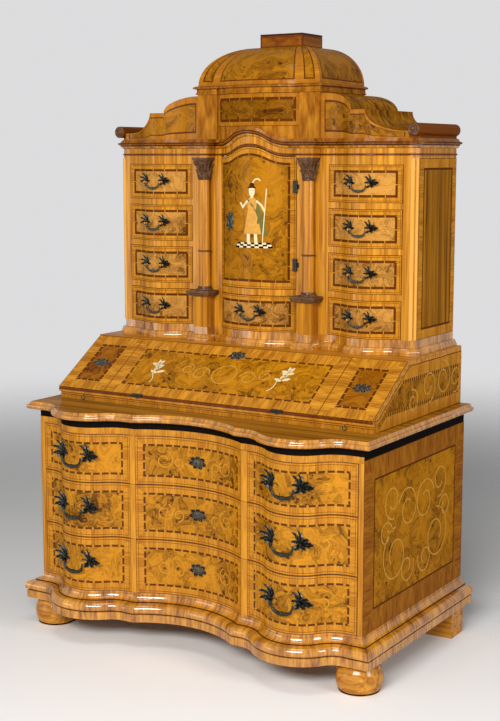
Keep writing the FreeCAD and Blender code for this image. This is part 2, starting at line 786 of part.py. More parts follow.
cab_levels = (plinth_top_z, cab_top_z)
cab_inner = cab_half - cab_board
wall_y = cab_y + cab_board
cant_y = cab_y + cant
rear_y = cab_back_y - back_board
save("cabinet_sides", *both(box((cab_inner, cab_half), (cant_y, cab_back_y), cab_levels)))
corner_points = [(stile_x, cab_y), (cab_half - cant, cab_y), (cab_half, cant_y), (cab_inner, cant_y)]
corner_points += [(stile_x, wall_y), (stile_x, cab_y)]
corner = slab(outline(path(corner_points)), cab_levels)
pilaster = box((bow_x, partition_x), (cab_y, wall_y), cab_levels)
cab_plan = cabinet(0)
rail_reach = (lobe_y, wall_y)
rails = []
for low, high in cab_spaces:
    rail_levels = (high, high + cab_rail)
    bar = box((partition_x, stile_x), rail_reach, rail_levels)
    rails += both(slab(cab_plan, rail_levels).common(bar))
shelf_levels = (centre_drawer_top_z, door_z - gap)
rails.append(slab(cab_plan, shelf_levels).common(box(span(0, bow_x), rail_reach, shelf_levels)))
save("pilasters", *both(corner), *both(pilaster), *rails)

deep = (wall_y, rear_y)
floor_levels = (plinth_top_z - cab_dust, plinth_top_z)
boards = [box(span(0, cab_inner), (rear_y, cab_back_y), cab_levels)]
boards.append(box(span(0, cab_inner), deep, floor_levels).common(slab(cabinet(-cab_board), floor_levels)))
boards.append(box(span(0, cab_inner), (wall_y + door_board, rear_y), (spring_z, spring_z + cab_board)))
boards.append(box(span(0, bow_x), deep, shelf_levels))
for x in ((partition_x - cab_board, partition_x), (bow_x, bow_x + cab_board)):
    boards += both(box(x, deep, cab_levels))
for low, high in cab_spaces[1:]:
    boards += both(box((partition_x, cab_inner), deep, (low - cab_dust, low)).cut(corner))
for low, high in cab_spaces:
    boards += both(box((stile_x, cab_inner), (cant_y, rear_y), (low, low + 2 * cab_dust)))
save("cabinet_boards", *boards)

# columns: shafts, then bases, collars and capitals
shaft = Part.makeCone(shaft_radius, shaft_top_radius, shaft_top_z - shaft_z, V(column_x, column_y, shaft_z))
save("column_shafts", *both(shaft))
disc = Part.makeCylinder(shaft_radius + disc_height / 2, disc_height, V(column_x, column_y, pedestal_top_z))
disc = disc.makeChamfer(disc_height / 4, [edge for edge in disc.Edges if edge.Closed])
collar_foot = V(column_x, column_y, collar_z)
collar = Part.makeCylinder(shaft_radius + collar_out, collar_height, collar_foot).cut(shaft)
bell_foot = V(column_x, column_y, shaft_top_z)
bell_top = capital_top_z - abacus
bell = Part.makeCone(shaft_top_radius, capital_half, bell_top - shaft_top_z, bell_foot)
top_square = box(span(column_x, capital_half), span(column_y, capital_half), (bell_top, capital_top_z))
before_wall = box(span(column_x, spare), (cab_y - spare, cab_y), (pedestal_top_z, capital_top_z))
trims = []
for trim in (disc, collar, merge([bell, top_square])):
    trims += both(trim.common(before_wall))
save("column_capitals", *trims)

# frieze and cornice with blocks over the columns and an arch over the door
depth = (lobe_y, back_y)
bow_depth = (lobe_y, cab_y + spare)
frieze_levels = (cab_top_z, cornice_z)
frieze = ring(slab(cabinet(0), frieze_levels), cabinet, cab_board, cab_back_y, frieze_levels)
frieze = frieze.cut(box(span(0, bow_x), bow_depth, frieze_levels))
block = slab(square_plan(entablature_half)(0), (capital_top_z, cornice_z))
arch_levels = (spring_z, cornice_z + arch_rise)
tympanum = upright(arched(door_z, cornice_z - seat_gap, arch_rise), depth)
tympanum = tympanum.cut(upright(arched(door_z, spring_z, door_arch_rise), depth))
tympanum = tympanum.common(shell(cabinet, cab_board, arch_levels))
tympanum = tympanum.common(box(span(0, bow_x), bow_depth, arch_levels))

cornice_levels = (cornice_z, cornice_top_z)
flat = moulding(cabinet, cornice_shares, cornice_out, cornice_levels)
flat = ring(flat, cabinet, cornice_width, cab_back_y, cornice_levels)
flat = flat.cut(box(span(0, arch_half), bow_depth, cornice_levels))
over_column = moulding(square_plan(entablature_half), cornice_shares, cornice_out, cornice_levels)
bow_radius, bow_centre = round_of(bow_x, cab_y, bow_y)[:2]
profile = [(share * cornice_out, level * cornice_height) for level, share in cornice_shares]
profile += [(-cornice_width, cornice_height), (-cornice_width, 0)]
sections = []
for index in range(arch_steps + 1):
    x = arch_half * (2 * index / arch_steps - 1)
    lift = cornice_z + arch_height(x, arch_rise)
    depths = [bow_centre - sqrt((bow_radius + out) ** 2 - x * x) for out, rise in profile]
    corners = [V(x, y, lift + rise) for y, (out, rise) in zip(depths, profile)]
    sections.append(Part.makePolygon(corners + corners[:1]))
cornice = merge([flat, *both(over_column), Part.makeLoft(sections, True, True)])
cornice_reach = (cornice_z, cornice_top_z + arch_rise)
save("cornice", *parted(cornice, cab_half, cab_y + cant, cornice_reach))
save("frieze", *parted(frieze, cab_half, cab_y + cant, frieze_levels), tympanum.cut(cornice), *both(block))

# door and its hinges
door_half = bow_x - gap
door_levels = (door_z, spring_z + door_arch_rise)
door_shape = upright(arched(door_z, spring_z - door_top_gap, door_arch_rise), depth)
door = shell(cabinet, door_board, door_levels).common(door_shape)
save("door", door.common(box(span(0, door_half), bow_depth, door_levels)))
door_axis = V(bow_x + slide_gap, cab_y - barrel_radius - 2 * barrel_gap, 0)
door_layer = skin(cabinet, leaf, door_levels)
door_mounts = []
for level in door_hinge_z:
    whole = [door_axis + UP * z for z in span(level, half_hinge)]
    core = [door_axis + UP * z for z in span(level, half_knuckle)]
    core_room = [door_axis + UP * z for z in span(level, half_knuckle + barrel_gap / 2)]
    leaf_room = box((door_half - leaf_reach, door_half), (lobe_y, cab_y), span(level, half_hinge))
    moving_leaf = door_layer.common(leaf_room)
    moving = merge([rod(barrel_radius, *whole), moving_leaf]).cut(slab(cabinet(seat_gap), door_levels))
    moving = moving.cut(rod(barrel_radius + barrel_gap, *core_room)).cut(rod(hinge_pin + run_gap, *whole))
    door_mounts.append(moving)
    fixed_leaf = box((door_axis.x, bow_x + leaf_reach / 2), (cab_y - leaf, cab_y), span(level, half_knuckle))
    arm = box((door_axis.x, door_axis.x + leaf), (door_axis.y, cab_y), span(level, half_knuckle))
    fixed_hinges.append(merge([rod(barrel_radius, *core), fixed_leaf, arm, rod(hinge_pin, *whole)]))
key = upright(oval(key_half_width, key_half_height), (lobe_y, cab_y))
key.rotate(HOME, BACKWARD, 90)
key.translate(V(door_key_x, 0, door_key_z))
hole = rod(keyhole_radius, V(door_key_x, lobe_y, door_key_z), V(door_key_x, cab_y, door_key_z))
door_mounts.append(skin(cabinet, plate, door_levels).common(key).cut(hole))
save("door_mounts", *door_mounts)
save("fixed_hinges", *fixed_hinges)

# drawers of the upper cabinet with their posts and bails
side_x = (partition_x + gap, stile_x - gap)
pull_y = cab_lobe_y - pull_reach
bore = pull_pin + run_gap
walls = (cab_drawer_side, cab_drawer_floor, cab_drawer_back_y)
for number, (low, high) in enumerate(reversed(cab_spaces), 1):
    front_z = (low + gap / 2, high - gap / 2)
    box_z = (low + seat_gap, high - slide_gap)
    pieces = drawer(cabinet, cab_front, side_x, front_z, box_z, *walls)
    middle = (low + high) / 2 + pull_lift
    pieces += posts(cabinet, cab_lobe_x, pull_half, pull_post, pull_y, cab_y, middle, bore)
    hanging = both(bail(cab_lobe_x, pull_half, pull_y, middle, pull_radius, pull_pin, pull_drop))
    for name, index in (("right", 0), ("left", 1)):
        save(f"upper_drawer_{name}_{number}", *[both(piece)[index] for piece in pieces])
        save(f"upper_bail_{name}_{number}", hanging[index])
front_z = (plinth_top_z + gap / 2, centre_drawer_top_z - gap)
box_z = (plinth_top_z + seat_gap, centre_drawer_top_z - 2 * slide_gap)
pieces = drawer(cabinet, cab_front, span(0, door_half), front_z, box_z, *walls)
middle = (plinth_top_z + centre_drawer_top_z) / 2
centre_pull_y = bow_y - pull_reach
pieces += posts(cabinet, 0, pull_half, pull_post, centre_pull_y, cab_y, middle, bore)
save("centre_drawer", *pieces)
save("centre_bail", bail(0, pull_half, centre_pull_y, middle, pull_radius, pull_pin, pull_drop))

# pediment: shoulders with rolls, attic, dome and finial block
low = cornice_top_z
seat_x = roll_x + roll_radius / 2
edges = path([(shoulder_top_x, shoulder_top_z), (attic_half, shoulder_top_z), (attic_half, low)])
edges += path([(attic_half, low), (seat_x, low), (seat_x, roll_seat_z), (shoulder_x, roll_seat_z)])
edges += path([(shoulder_x, roll_seat_z), (shoulder_x, shoulder_low_z)])
edges += path([(shoulder_x, shoulder_low_z), (concave_x, shoulder_low_z)])
edges.append(quarter(concave_x, step_z, concave_x - step_end_x, low_curl_height, 2))
edges += path([(step_end_x, step_z), (step_start_x, step_z)])
edges.append(quarter(shoulder_top_x, step_z, high_curl_width, high_curl_height, 0))
shoulder = upright(outline(edges), (lobe_y, cab_back_y)).common(slab(cabinet(0), (low, shoulder_top_z)))
roll_front = V(roll_x, roll_y, roll_seat_z + roll_radius - roll_sink)
roll = rod(roll_radius, roll_front, roll_front + BACKWARD * (cab_back_y - roll_y))
boss = rod(roll_radius * roll_boss_share, roll_front - BACKWARD * roll_end, roll_front)
save("shoulders", *both(merge([shoulder, roll, boss])))

attic_levels = (cornice_top_z, dome_z)
attic_cornice = moulding(attic_plan, attic_shares, attic_out, (attic_z, dome_z))
attic = merge([slab(attic_plan(0), (low, attic_z)), attic_cornice])
attic = cut_behind(attic, cab_back_y, attic_levels).cut(cornice)
save("attic", attic)

bulge = attic_y - attic_bow_y - dome_inset
dome_back = cab_back_y - dome_inset
rib_half = finial_half - rib_top_width
sections = []
for index in range(dome_steps + 1):
    angle = index / dome_steps * pi / 2
    outer = finial_half + dome_run * cos(angle)
    inner = rib_half + (attic_bow_x - rib_half) * cos(angle)
    front = finial_y[0] - dome_run * cos(angle)
    swell = front - max(dome_bulge, bulge * cos(angle))
    z = dome_z + dome_height * sin(angle)
    arc = Part.Arc(V(inner, front, z), V(0, swell, z), V(-inner, front, z)).toShape()
    left = [V(-inner, front, z), V(-outer, front, z), V(-outer, dome_back, z)]
    corners = left + [V(-corner.x, corner.y, z) for corner in reversed(left)]
    sides = [Part.makeLine(start, end) for start, end in zip(corners, corners[1:])]
    sections.append(Part.Wire([arc] + sides))
save("dome", Part.makeLoft(sections, True, True))
top_share = finial_height / (finial_top_z - dome_top_z)
finial_shares = ((0, 0), (top_share, 0), (1, -1))
save("finial", moulding(finial_plan, finial_shares, finial_edge, (dome_top_z, finial_top_z)))
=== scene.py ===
import json
from functools import partial
from math import asin, atan2, cos, copysign, pi, radians, sin, sqrt, tan

import bpy
import numpy as np
from bpy.props import FloatProperty, FloatVectorProperty, PointerProperty
from mathutils import Matrix, Vector


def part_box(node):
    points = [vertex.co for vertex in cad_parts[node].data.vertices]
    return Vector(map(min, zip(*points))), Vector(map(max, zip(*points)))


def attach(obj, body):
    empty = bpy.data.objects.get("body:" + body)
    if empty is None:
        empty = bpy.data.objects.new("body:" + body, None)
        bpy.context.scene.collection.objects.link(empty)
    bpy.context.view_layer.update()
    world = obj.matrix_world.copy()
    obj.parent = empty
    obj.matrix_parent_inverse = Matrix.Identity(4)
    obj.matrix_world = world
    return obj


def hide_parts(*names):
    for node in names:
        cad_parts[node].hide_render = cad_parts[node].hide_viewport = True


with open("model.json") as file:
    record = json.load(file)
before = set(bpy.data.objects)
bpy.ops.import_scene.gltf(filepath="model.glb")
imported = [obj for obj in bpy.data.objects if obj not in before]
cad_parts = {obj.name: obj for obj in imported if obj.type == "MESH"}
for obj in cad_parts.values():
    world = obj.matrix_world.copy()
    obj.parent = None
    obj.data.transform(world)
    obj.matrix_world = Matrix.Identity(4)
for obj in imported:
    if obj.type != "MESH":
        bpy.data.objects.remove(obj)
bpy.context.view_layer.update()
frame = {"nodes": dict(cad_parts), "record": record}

bl_info = {
    "name": "Bureau Cabinet",
    "version": (1, 0, 0),
    "blender": (4, 5, 0),
    "location": "View3D > Sidebar > Bureau",
    "description": "Dresses a serpentine bureau cabinet in veneer, mouldings and mounts",
    "category": "Object",
}

ROOT = "carcase"
SIDES = (("left", -1), ("right", 1))
MM = 0.001
FINISH = {}
MIRROR = Matrix.Scale(-1, 4, (1, 0, 0))
FORWARD = Matrix.Rotation(radians(90), 4, "X")
FLAP_LEAN = radians(33)
FLAP_LENGTH = 276 * MM


def linear(code):
    """Linear colour of an sRGB hex value."""
    parts = [int(code[i:i + 2], 16) / 255 for i in (1, 3, 5)]
    return tuple(p / 12.92 if p <= 0.04045 else ((p + 0.055) / 1.055) ** 2.4 for p in parts)


def length(name, description, default):
    """A size that a user may change."""
    return FloatProperty(name=name, description=description, default=default, unit="LENGTH", precision=4)


def colour(name, description, code):
    """A colour that a user may change."""
    return FloatVectorProperty(
        name=name, description=description, default=linear(code), subtype="COLOR", min=0, max=1)


class BureauSizes(bpy.types.PropertyGroup):
    """Sizes of the plan curves and of what is laid on the solids."""
    crease_x: length("Crease", "Half width of the chest's hollow centre", 0.205)
    crease_flat: length("Crease flat", "Width of the flat strip beside the hollow", 0.021)
    corner_flat: length("Corner flat", "Width of the flat strip at the chest's corners", 0.042)
    corner_in: length("Corner set-back", "How far the chest's corners stand behind its creases", 0.021)
    hollow_in: length("Hollow", "Depth of the chest's hollow centre", 0.063)
    bow_x: length("Bow", "Half width of the upper cabinet's bowed centre", 0.148)
    bow_out: length("Bow rise", "Forward reach of the bowed centre", 0.058)
    bay_width: length("Column bay", "Width of the flat bay behind a column", 0.120)
    lobe_margin: length("Lobe margin", "Flat width beside an upper lobe", 0.009)
    lobe_out: length("Upper lobe", "Forward reach of the upper lobes", 0.042)
    stile: length("Stile", "Width of the flat stile beside the canted corner", 0.021)
    attic_bow_x: length("Attic bow", "Half width of the attic's bowed panel", 0.160)
    attic_bow_out: length("Attic bow rise", "Forward reach of the attic's bowed panel", 0.030)
    attic_step: length("Attic step", "Step back of the panel behind the attic's pilasters", 0.010)
    arch_half: length("Arch", "Half width of the arch over the door", 0.126)
    arch_rise: length("Arch rise", "Rise of the cornice over the door", 0.040)
    door_arch: length("Door arch", "Rise of the door's own arched top", 0.033)
    proud: length("Veneer", "How far a sheet of veneer stands before its ground", 0.0009)
    veneer: length("Veneer thickness", "Thickness of a sheet of veneer", 0.0007)


class BureauColours(bpy.types.PropertyGroup):
    """Colours of the woods, inlays and metals."""
    amber: colour("Amber", "Light figure of the burr walnut", "#BB7A11")
    umber: colour("Umber", "Dark figure of the burr walnut", "#452303")
    gold: colour("Gold", "Light streaks of the cross-banding", "#D4922A")
    honey: colour("Honey", "Dark streaks of the cross-banding", "#874B09")
    russet: colour("Russet", "Reddish banding of the sides", "#793B07")
    plum: colour("Plum", "Dark inlaid lines and painted shade lines", "#431B06")
    ebony: colour("Ebony", "Black stained wood", "#120E0C")
    carved: colour("Carved", "Darkened carved wood", "#6E4D33")
    softwood: colour("Softwood", "Unpolished inner boards", "#B98F5C")
    ivory: colour("Ivory", "Pale inlay", "#E2D2A6")
    moss: colour("Moss", "Green stained inlay", "#6E6A34")
    maple: colour("Maple", "Pale scrolls of strapwork", "#CFA24A")
    brass: colour("Brass", "Worn high spots of the mounts", "#6C6D60")
    patina: colour("Patina", "Dark hollows of the mounts", "#0F110D")
    floor: colour("Floor", "Studio floor", "#F2F1EF")


def sizes():
    """The sizes in use."""
    return bpy.context.scene.bureau_sizes


def tone(name):
    """A colour in use, with full alpha."""
    return (*getattr(bpy.context.scene.bureau_colours, name), 1.0)


def add(tree, kind, inputs=None, stops=None, **settings):
    """Add a shader node with its settings, and set or link its inputs."""
    node = tree.nodes.new(kind)
    for name, value in settings.items():
        setattr(node, name, value)
    for key, value in (inputs or {}).items():
        if isinstance(value, bpy.types.NodeSocket):
            tree.links.new(value, node.inputs[key])
        else:
            node.inputs[key].default_value = value
    if stops:
        ramp = node.color_ramp
        while len(ramp.elements) < len(stops):
            ramp.elements.new(1)
        for element, (place, shade) in zip(ramp.elements, stops):
            element.position = place
            element.color = shade
    return node


def blank(name):
    """A new material with its tree and its shader."""
    material = bpy.data.materials.new(name)
    material.use_nodes = True
    return material, material.node_tree, material.node_tree.nodes["Principled BSDF"]


def maths(tree, operation, *values, **settings):
    """Result of a math node on sockets and numbers."""
    return add(tree, "ShaderNodeMath", dict(enumerate(values)), operation=operation, **settings).outputs[0]


def blend(tree, factor, first, second):
    """Colour that goes from one to another with a factor."""
    return add(tree, "ShaderNodeMix", {"Factor": factor, 6: first, 7: second}, data_type="RGBA").outputs[2]


def between(tree, factor, first, second):
    """Number that goes from one to another with a factor."""
    return add(tree, "ShaderNodeMix", {"Factor": factor, 2: first, 3: second}).outputs[0]


def noise(tree, vector, scale, detail, roughness=0.5, distortion=0.0):
    """Cloudy texture of a scale."""
    return add(tree, "ShaderNodeTexNoise", {
        "Vector": vector, "Scale": scale, "Detail": detail, "Roughness": roughness,
        "Distortion": distortion}).outputs["Fac"]


def remap(tree, value, low, high, start=0.0, end=1.0, **settings):
    """Value moved from one range to another."""
    return add(tree, "ShaderNodeMapRange", {
        "Value": value, "From Min": low, "From Max": high, "To Min": start, "To Max": end},
        **settings).outputs["Result"]


def ramp(tree, value, *stops):
    """Colour by a value, between stops of a place and a colour."""
    return add(tree, "ShaderNodeValToRGB", {"Fac": value}, stops=stops).outputs["Color"]


def stretched(tree, vector, scale):
    """Vector scaled along its axes."""
    return add(tree, "ShaderNodeMapping", {"Vector": vector, "Scale": scale}).outputs[0]


def object_place(tree):
    """Place on the object, in metres."""
    return add(tree, "ShaderNodeTexCoord").outputs["Object"]


def sheet_map(tree, name):
    """The parts of one of a sheet's own maps."""
    values = add(tree, "ShaderNodeUVMap", uv_map=name).outputs[0]
    return add(tree, "ShaderNodeSeparateXYZ", {0: values}).outputs


def relief(tree, shader, height, strength, distance):
    """Fine tooth of a surface."""
    bump = add(tree, "ShaderNodeBump", {"Height": height, "Strength": strength, "Distance": distance})
    tree.links.new(bump.outputs["Normal"], shader.inputs["Normal"])


def polish(tree, shader, shade, grain, roughness=0.34, coat=0.15, bump=0.12, gloss=0.16):
    """Shellac over wood: a clear coat, and pores that break the gloss a little."""
    tree.links.new(shade, shader.inputs["Base Color"])
    rough = remap(tree, grain, 0.0, 1.0, roughness + 0.10, roughness - 0.06)
    tree.links.new(rough, shader.inputs["Roughness"])
    relief(tree, shader, grain, bump, 0.4 * MM)
    shader.inputs["Specular IOR Level"].default_value = 0.0
    shader.inputs["Coat Weight"].default_value = coat
    shader.inputs["Coat Roughness"].default_value = gloss
    shader.inputs["Coat IOR"].default_value = 1.5 + 0.3 * coat


def burr_figure(tree, light, dark, swirl_mm=75):
    """Burr walnut: swirling growth lines, clouds and a few eyes. Gives its colour and its grain."""
    place = object_place(tree)
    clouds = noise(tree, place, 1 / (swirl_mm * MM), 4.0, 0.55, 1.6)
    waves = maths(tree, "SINE", maths(tree, "MULTIPLY", clouds, 48.0))
    fine = noise(tree, place, 1 / (10 * MM), 5.0, 0.65, 1.4)
    patches = noise(tree, place, 1 / (170 * MM), 1.0)
    eyes = add(tree, "ShaderNodeTexVoronoi", {"Vector": place, "Scale": 1 / (34 * MM), "Randomness": 1.0})
    spots = remap(tree, eyes.outputs["Distance"], 0.04, 0.22, 0.30, 0.0)
    mixed = clouds
    for part, share in ((waves, 0.10), (fine, 0.42), (patches, 0.7)):
        mixed = maths(tree, "MULTIPLY_ADD", part, share, mixed)
    level = remap(tree, maths(tree, "SUBTRACT", mixed, spots), 0.74, 1.32)
    shades = ((0.0, dark), (0.4, mix_tone(dark, light, 0.5)), (0.8, mix_tone(dark, light, 0.9)), (1.0, light))
    return ramp(tree, level, *shades), level


def straight_figure(tree, light, dark, axis="Z", line_mm=9.0, wander=0.5):
    """Straight-grained walnut: long streaks along one axis of the object. Colour and grain."""
    scale = {"X": (3, 90, 90), "Y": (90, 3, 90), "Z": (90, 90, 3)}[axis]
    place = stretched(tree, object_place(tree), tuple(value * 9.0 / line_mm for value in scale))
    grain = noise(tree, place, 1.0, 5.0, 0.6, wander)
    return ramp(tree, grain, (0.30, dark), (0.70, light)), grain


def mix_tone(first, second, share):
    """A colour between two colours."""
    return tuple(a + (b - a) * share for a, b in zip(first, second))


def streaks(tree, along, across, light, dark, line_mm=4.0):
    """Straight-grained veneer laid across its strip: streaks that change along it. Colour and grain."""
    vector = add(tree, "ShaderNodeCombineXYZ", {"X": along, "Y": across}).outputs[0]
    fine = noise(tree, stretched(tree, vector, (1 / (line_mm * MM), 1 / (60 * MM), 1.0)), 1.0, 3.0, 0.6)
    broad = noise(tree, stretched(tree, vector, (1 / (38 * MM), 1 / (160 * MM), 1.0)), 1.0, 2.0)
    both = remap(tree, maths(tree, "MULTIPLY_ADD", broad, 0.8, fine), 0.55, 1.25)
    return ramp(tree, both, (0.1, dark), (0.9, light)), fine


def inlaid(name, field, band, line, band_mm, line_mm, dash_mm, space_mm, edge_shade_mm, bead_mm=0.0, coat=0.2,
           gloss=0.16):
    """Veneered panel: a figured field, a dark inlaid line that may be broken in dashes, cross-banding, and a
    dark line of painted shade along its very edge.

    The sheet's own maps give, in metres, the place from the panel's centre and the panel's half size.
    """
    material, tree, shader = blank(name)
    place, half = sheet_map(tree, "panel"), sheet_map(tree, "extent")
    gaps = [maths(tree, "SUBTRACT", half[axis], maths(tree, "ABSOLUTE", place[axis])) for axis in ("X", "Y")]
    depth = maths(tree, "MINIMUM", *gaps)
    along = between(tree, maths(tree, "LESS_THAN", *gaps), place["X"], place["Y"])
    field_shade, field_grain = field(tree)
    band_shade, band_grain = streaks(tree, along, depth, *band)
    within = maths(tree, "GREATER_THAN", depth, band_mm * MM)
    shade = blend(tree, within, band_shade, field_shade)
    grain = between(tree, within, band_grain, field_grain)
    stripe = maths(tree, "COMPARE", depth, (band_mm + line_mm / 2) * MM, line_mm * MM / 2)
    mask = stripe
    if dash_mm:
        cycle = maths(tree, "FLOORED_MODULO", along, (dash_mm + space_mm) * MM)
        mask = maths(tree, "MULTIPLY", stripe, maths(tree, "LESS_THAN", cycle, dash_mm * MM))
        shade = blend(tree, stripe, shade, mix_tone(line, band[0], 0.6))
    shade = blend(tree, mask, shade, line)
    # Painted shade: the panel's very edge takes the line's colour, for the shadow in the gap round the panel.
    shade = blend(tree, maths(tree, "LESS_THAN", depth, edge_shade_mm * MM), shade, line)
    if bead_mm:
        bead = maths(tree, "COMPARE", depth, bead_mm * MM, 0.9 * MM)
        shade = blend(tree, bead, shade, mix_tone(line, band[1], 0.5))
    polish(tree, shader, shade, grain, coat=coat, gloss=gloss)
    return material


def crossbanded(name, light, dark, line_mm=5.0, coat=0.3, gloss=0.16):
    """Cross-grained walnut: streaks run across the strip, and change along it."""
    material, tree, shader = blank(name)
    place = sheet_map(tree, "panel")
    shade, grain = streaks(tree, place["X"], place["Y"], light, dark, line_mm)
    polish(tree, shader, shade, grain, 0.3, coat, gloss=gloss)
    return material


def plain_walnut(name, light, dark, axis="Z", line_mm=9.0, coat=0.3):
    """Straight-grained walnut on a solid."""
    material, tree, shader = blank(name)
    shade, grain = straight_figure(tree, light, dark, axis, line_mm)
    polish(tree, shader, shade, grain, 0.32, coat)
    return material


def patinated(name, worn_tone):
    """Cast metal gone dark and grey-green in the hollows, rubbed brighter on what stands out."""
    material, tree, shader = blank(name)
    cloud = noise(tree, object_place(tree), 1 / (6 * MM), 4.0)
    worn = remap(tree, add(tree, "ShaderNodeNewGeometry").outputs["Pointiness"], 0.48, 0.66)
    amount = maths(tree, "MULTIPLY_ADD", cloud, 0.5, worn)
    shade = ramp(tree, amount, (0.42, tone("patina")), (1.0, worn_tone))
    tree.links.new(shade, shader.inputs["Base Color"])
    shader.inputs["Metallic"].default_value = 0.75
    shader.inputs["Roughness"].default_value = 0.33
    relief(tree, shader, cloud, 0.2, 0.3 * MM)
    return material


def dull(name, shade, roughness, coat, variation=0.25):
    """Stained, carved or bone surface: one tone, clouded a little, with a fine tooth."""
    material, tree, shader = blank(name)
    cloud = noise(tree, object_place(tree), 1 / (14 * MM), 5.0)
    darker = mix_tone(shade, (0, 0, 0, 1), variation)
    polish(tree, shader, ramp(tree, cloud, (0.3, darker), (0.7, shade)), cloud, roughness, coat, 0.08)
    return material


def finishes():
    """All finishes of the cabinet, by the maker's name for them."""
    amber, umber, plum, russet = tone("amber"), tone("umber"), tone("plum"), tone("russet")
    gold, honey, ivory, spruce = tone("gold"), tone("honey"), tone("ivory"), tone("softwood")
    brass, patina = tone("brass"), tone("patina")
    mix = mix_tone
    burr = partial(burr_figure, light=amber, dark=umber)
    front_burr = partial(burr_figure, light=mix(amber, gold, 0.25), dark=umber)
    side_burr = partial(burr_figure, light=mix(amber, umber, 0.18), dark=mix(umber, plum, 0.2))
    door_burr = partial(burr_figure, light=mix(amber, umber, 0.2), dark=mix(umber, amber, 0.06))
    attic_burr = partial(burr_figure, light=mix(amber, umber, 0.55), dark=mix(umber, plum, 0.4))
    deep_burr = partial(burr_figure, light=mix(amber, umber, 0.36), dark=mix(umber, plum, 0.3), swirl_mm=80)
    grey_burr = partial(burr_figure, light=mix(amber, ivory, 0.1), dark=mix(umber, amber, 0.06), swirl_mm=48)
    red_burr = partial(burr_figure, light=mix(russet, amber, 0.5), dark=mix(russet, plum, 0.6))
    upright = partial(straight_figure, light=mix(amber, umber, 0.12), dark=mix(umber, plum, 0.2),
                      line_mm=26, wander=1.2)
    reddish = partial(straight_figure, light=mix(russet, amber, 0.3), dark=mix(russet, plum, 0.4),
                      axis="Y", line_mm=18)
    banding = (gold, honey)
    flap_banding = (gold, mix(honey, russet, 0.6), 6.0)
    deep_banding = (mix(gold, honey, 0.45), mix(honey, russet, 0.6))
    red_banding = (mix(russet, gold, 0.42), mix(russet, plum, 0.45), 7.0)
    block_banding = (mix(russet, honey, 0.5), plum)
    line = mix(umber, russet, 0.25)
    # Name, field, banding and line, then widths in mm: banding, line, dash, space, painted edge shade, bead.
    # Coat, gloss.
    panels = {
        "drawer": ("Burr walnut drawer front", front_burr, banding, line, 26, 7, 22, 7, 1.6, 8, 0.22, 0.22),
        "small_drawer": ("Burr walnut small drawer", grey_burr, banding, line, 17, 8, 40, 3, 1.6, 6,
                         0.12, 0.22),
        "side": ("Burr walnut chest side", side_burr, red_banding, line, 66, 6, 0, 0, 1.4, 0, 0.08),
        "desk_side": ("Burr walnut desk side", side_burr, banding, line, 24, 7, 9, 6, 1.4, 0, 0.08),
        "cabinet_side": ("Matched walnut cabinet side", upright, banding, line, 30, 7, 0, 0, 1.4, 0, 0.08),
        "flap_centre": ("Burr walnut flap centre", burr, flap_banding, line, 46, 7, 26, 8, 1.4, 0, 0.12),
        "flap_side": ("Burr walnut flap side", red_burr, flap_banding, line, 44, 9, 24, 4, 1.4, 0, 0.12),
        "door": ("Burr walnut door", door_burr, banding, line, 21, 8, 46, 2, 1.6, 7, 0.12, 0.22),
        "attic": ("Burr walnut attic panel", attic_burr, deep_banding, line, 14, 9, 46, 3, 1.4, 0, 0.05),
        "dome": ("Burr walnut dome", deep_burr, deep_banding, line, 13, 4, 0, 0, 0, 0, 0.12),
        "block": ("Reddish walnut top block", reddish, block_banding, line, 4, 1.5, 0, 0, 0),
        "shoulder": ("Burr walnut shoulder", deep_burr, deep_banding, line, 13, 4, 0, 0, 0),
        "crown": ("Dark walnut shoulder top", upright, red_banding, line, 10, 2, 0, 0, 0, 0, 0.05),
    }
    # Name, light and dark tone, width of a streak in mm, coat, gloss.
    strips = {
        "strip": ("Crossbanded strip", gold, mix(gold, honey, 0.6)),
        "banding": ("Walnut crossbanding", *banding),
        "moulding": ("Crossgrained walnut moulding", gold, mix(russet, plum, 0.25), 9, 0.9, 0.11),
        "dark_moulding": ("Dark walnut moulding", russet, plum, 9),
        "cornice": ("Brown walnut cornice", mix(gold, honey, 0.7), mix(russet, plum, 0.4), 12),
        "rail": ("Brown walnut rail", mix(gold, umber, 0.2), mix(honey, umber, 0.3), 9),
        "pilaster": ("Striped pilaster", mix(gold, honey, 0.45), mix(russet, plum, 0.3), 16, 0.06),
    }
    # Name, light and dark tone, axis of the grain, width of a streak in mm, coat.
    solids = {
        "upright": ("Straight walnut, upright", gold, honey, "Z"),
        "level": ("Straight walnut, level", gold, honey, "X"),
        "pedestal": ("Walnut pedestal", mix(gold, umber, 0.14), mix(honey, russet, 0.4), "Z", 14, 0.06),
        "foot": ("Turned walnut foot", gold, russet, "X", 14, 0.5),
        "column": ("Turned walnut column", gold, russet, "Z", 12, 0.5),
        "finial": ("Reddish walnut block", mix(russet, honey, 0.4), mix(russet, plum, 0.4), "X"),
        "bead": ("Pale corner bead", mix(gold, ivory, 0.2), gold, "Z"),
        "roll": ("Turned walnut roll", mix(honey, russet, 0.5), mix(russet, plum, 0.5), "Y", 12, 0.08),
        "boards": ("Unpolished spruce boards", spruce, honey, "X", 18, 0.0),
        "softwood": ("Unpolished spruce", spruce, honey, "Y", 14, 0.0),
        "top": ("Figured walnut top", mix(gold, umber, 0.3), mix(umber, honey, 0.4), "X", 26, 0.2),
    }
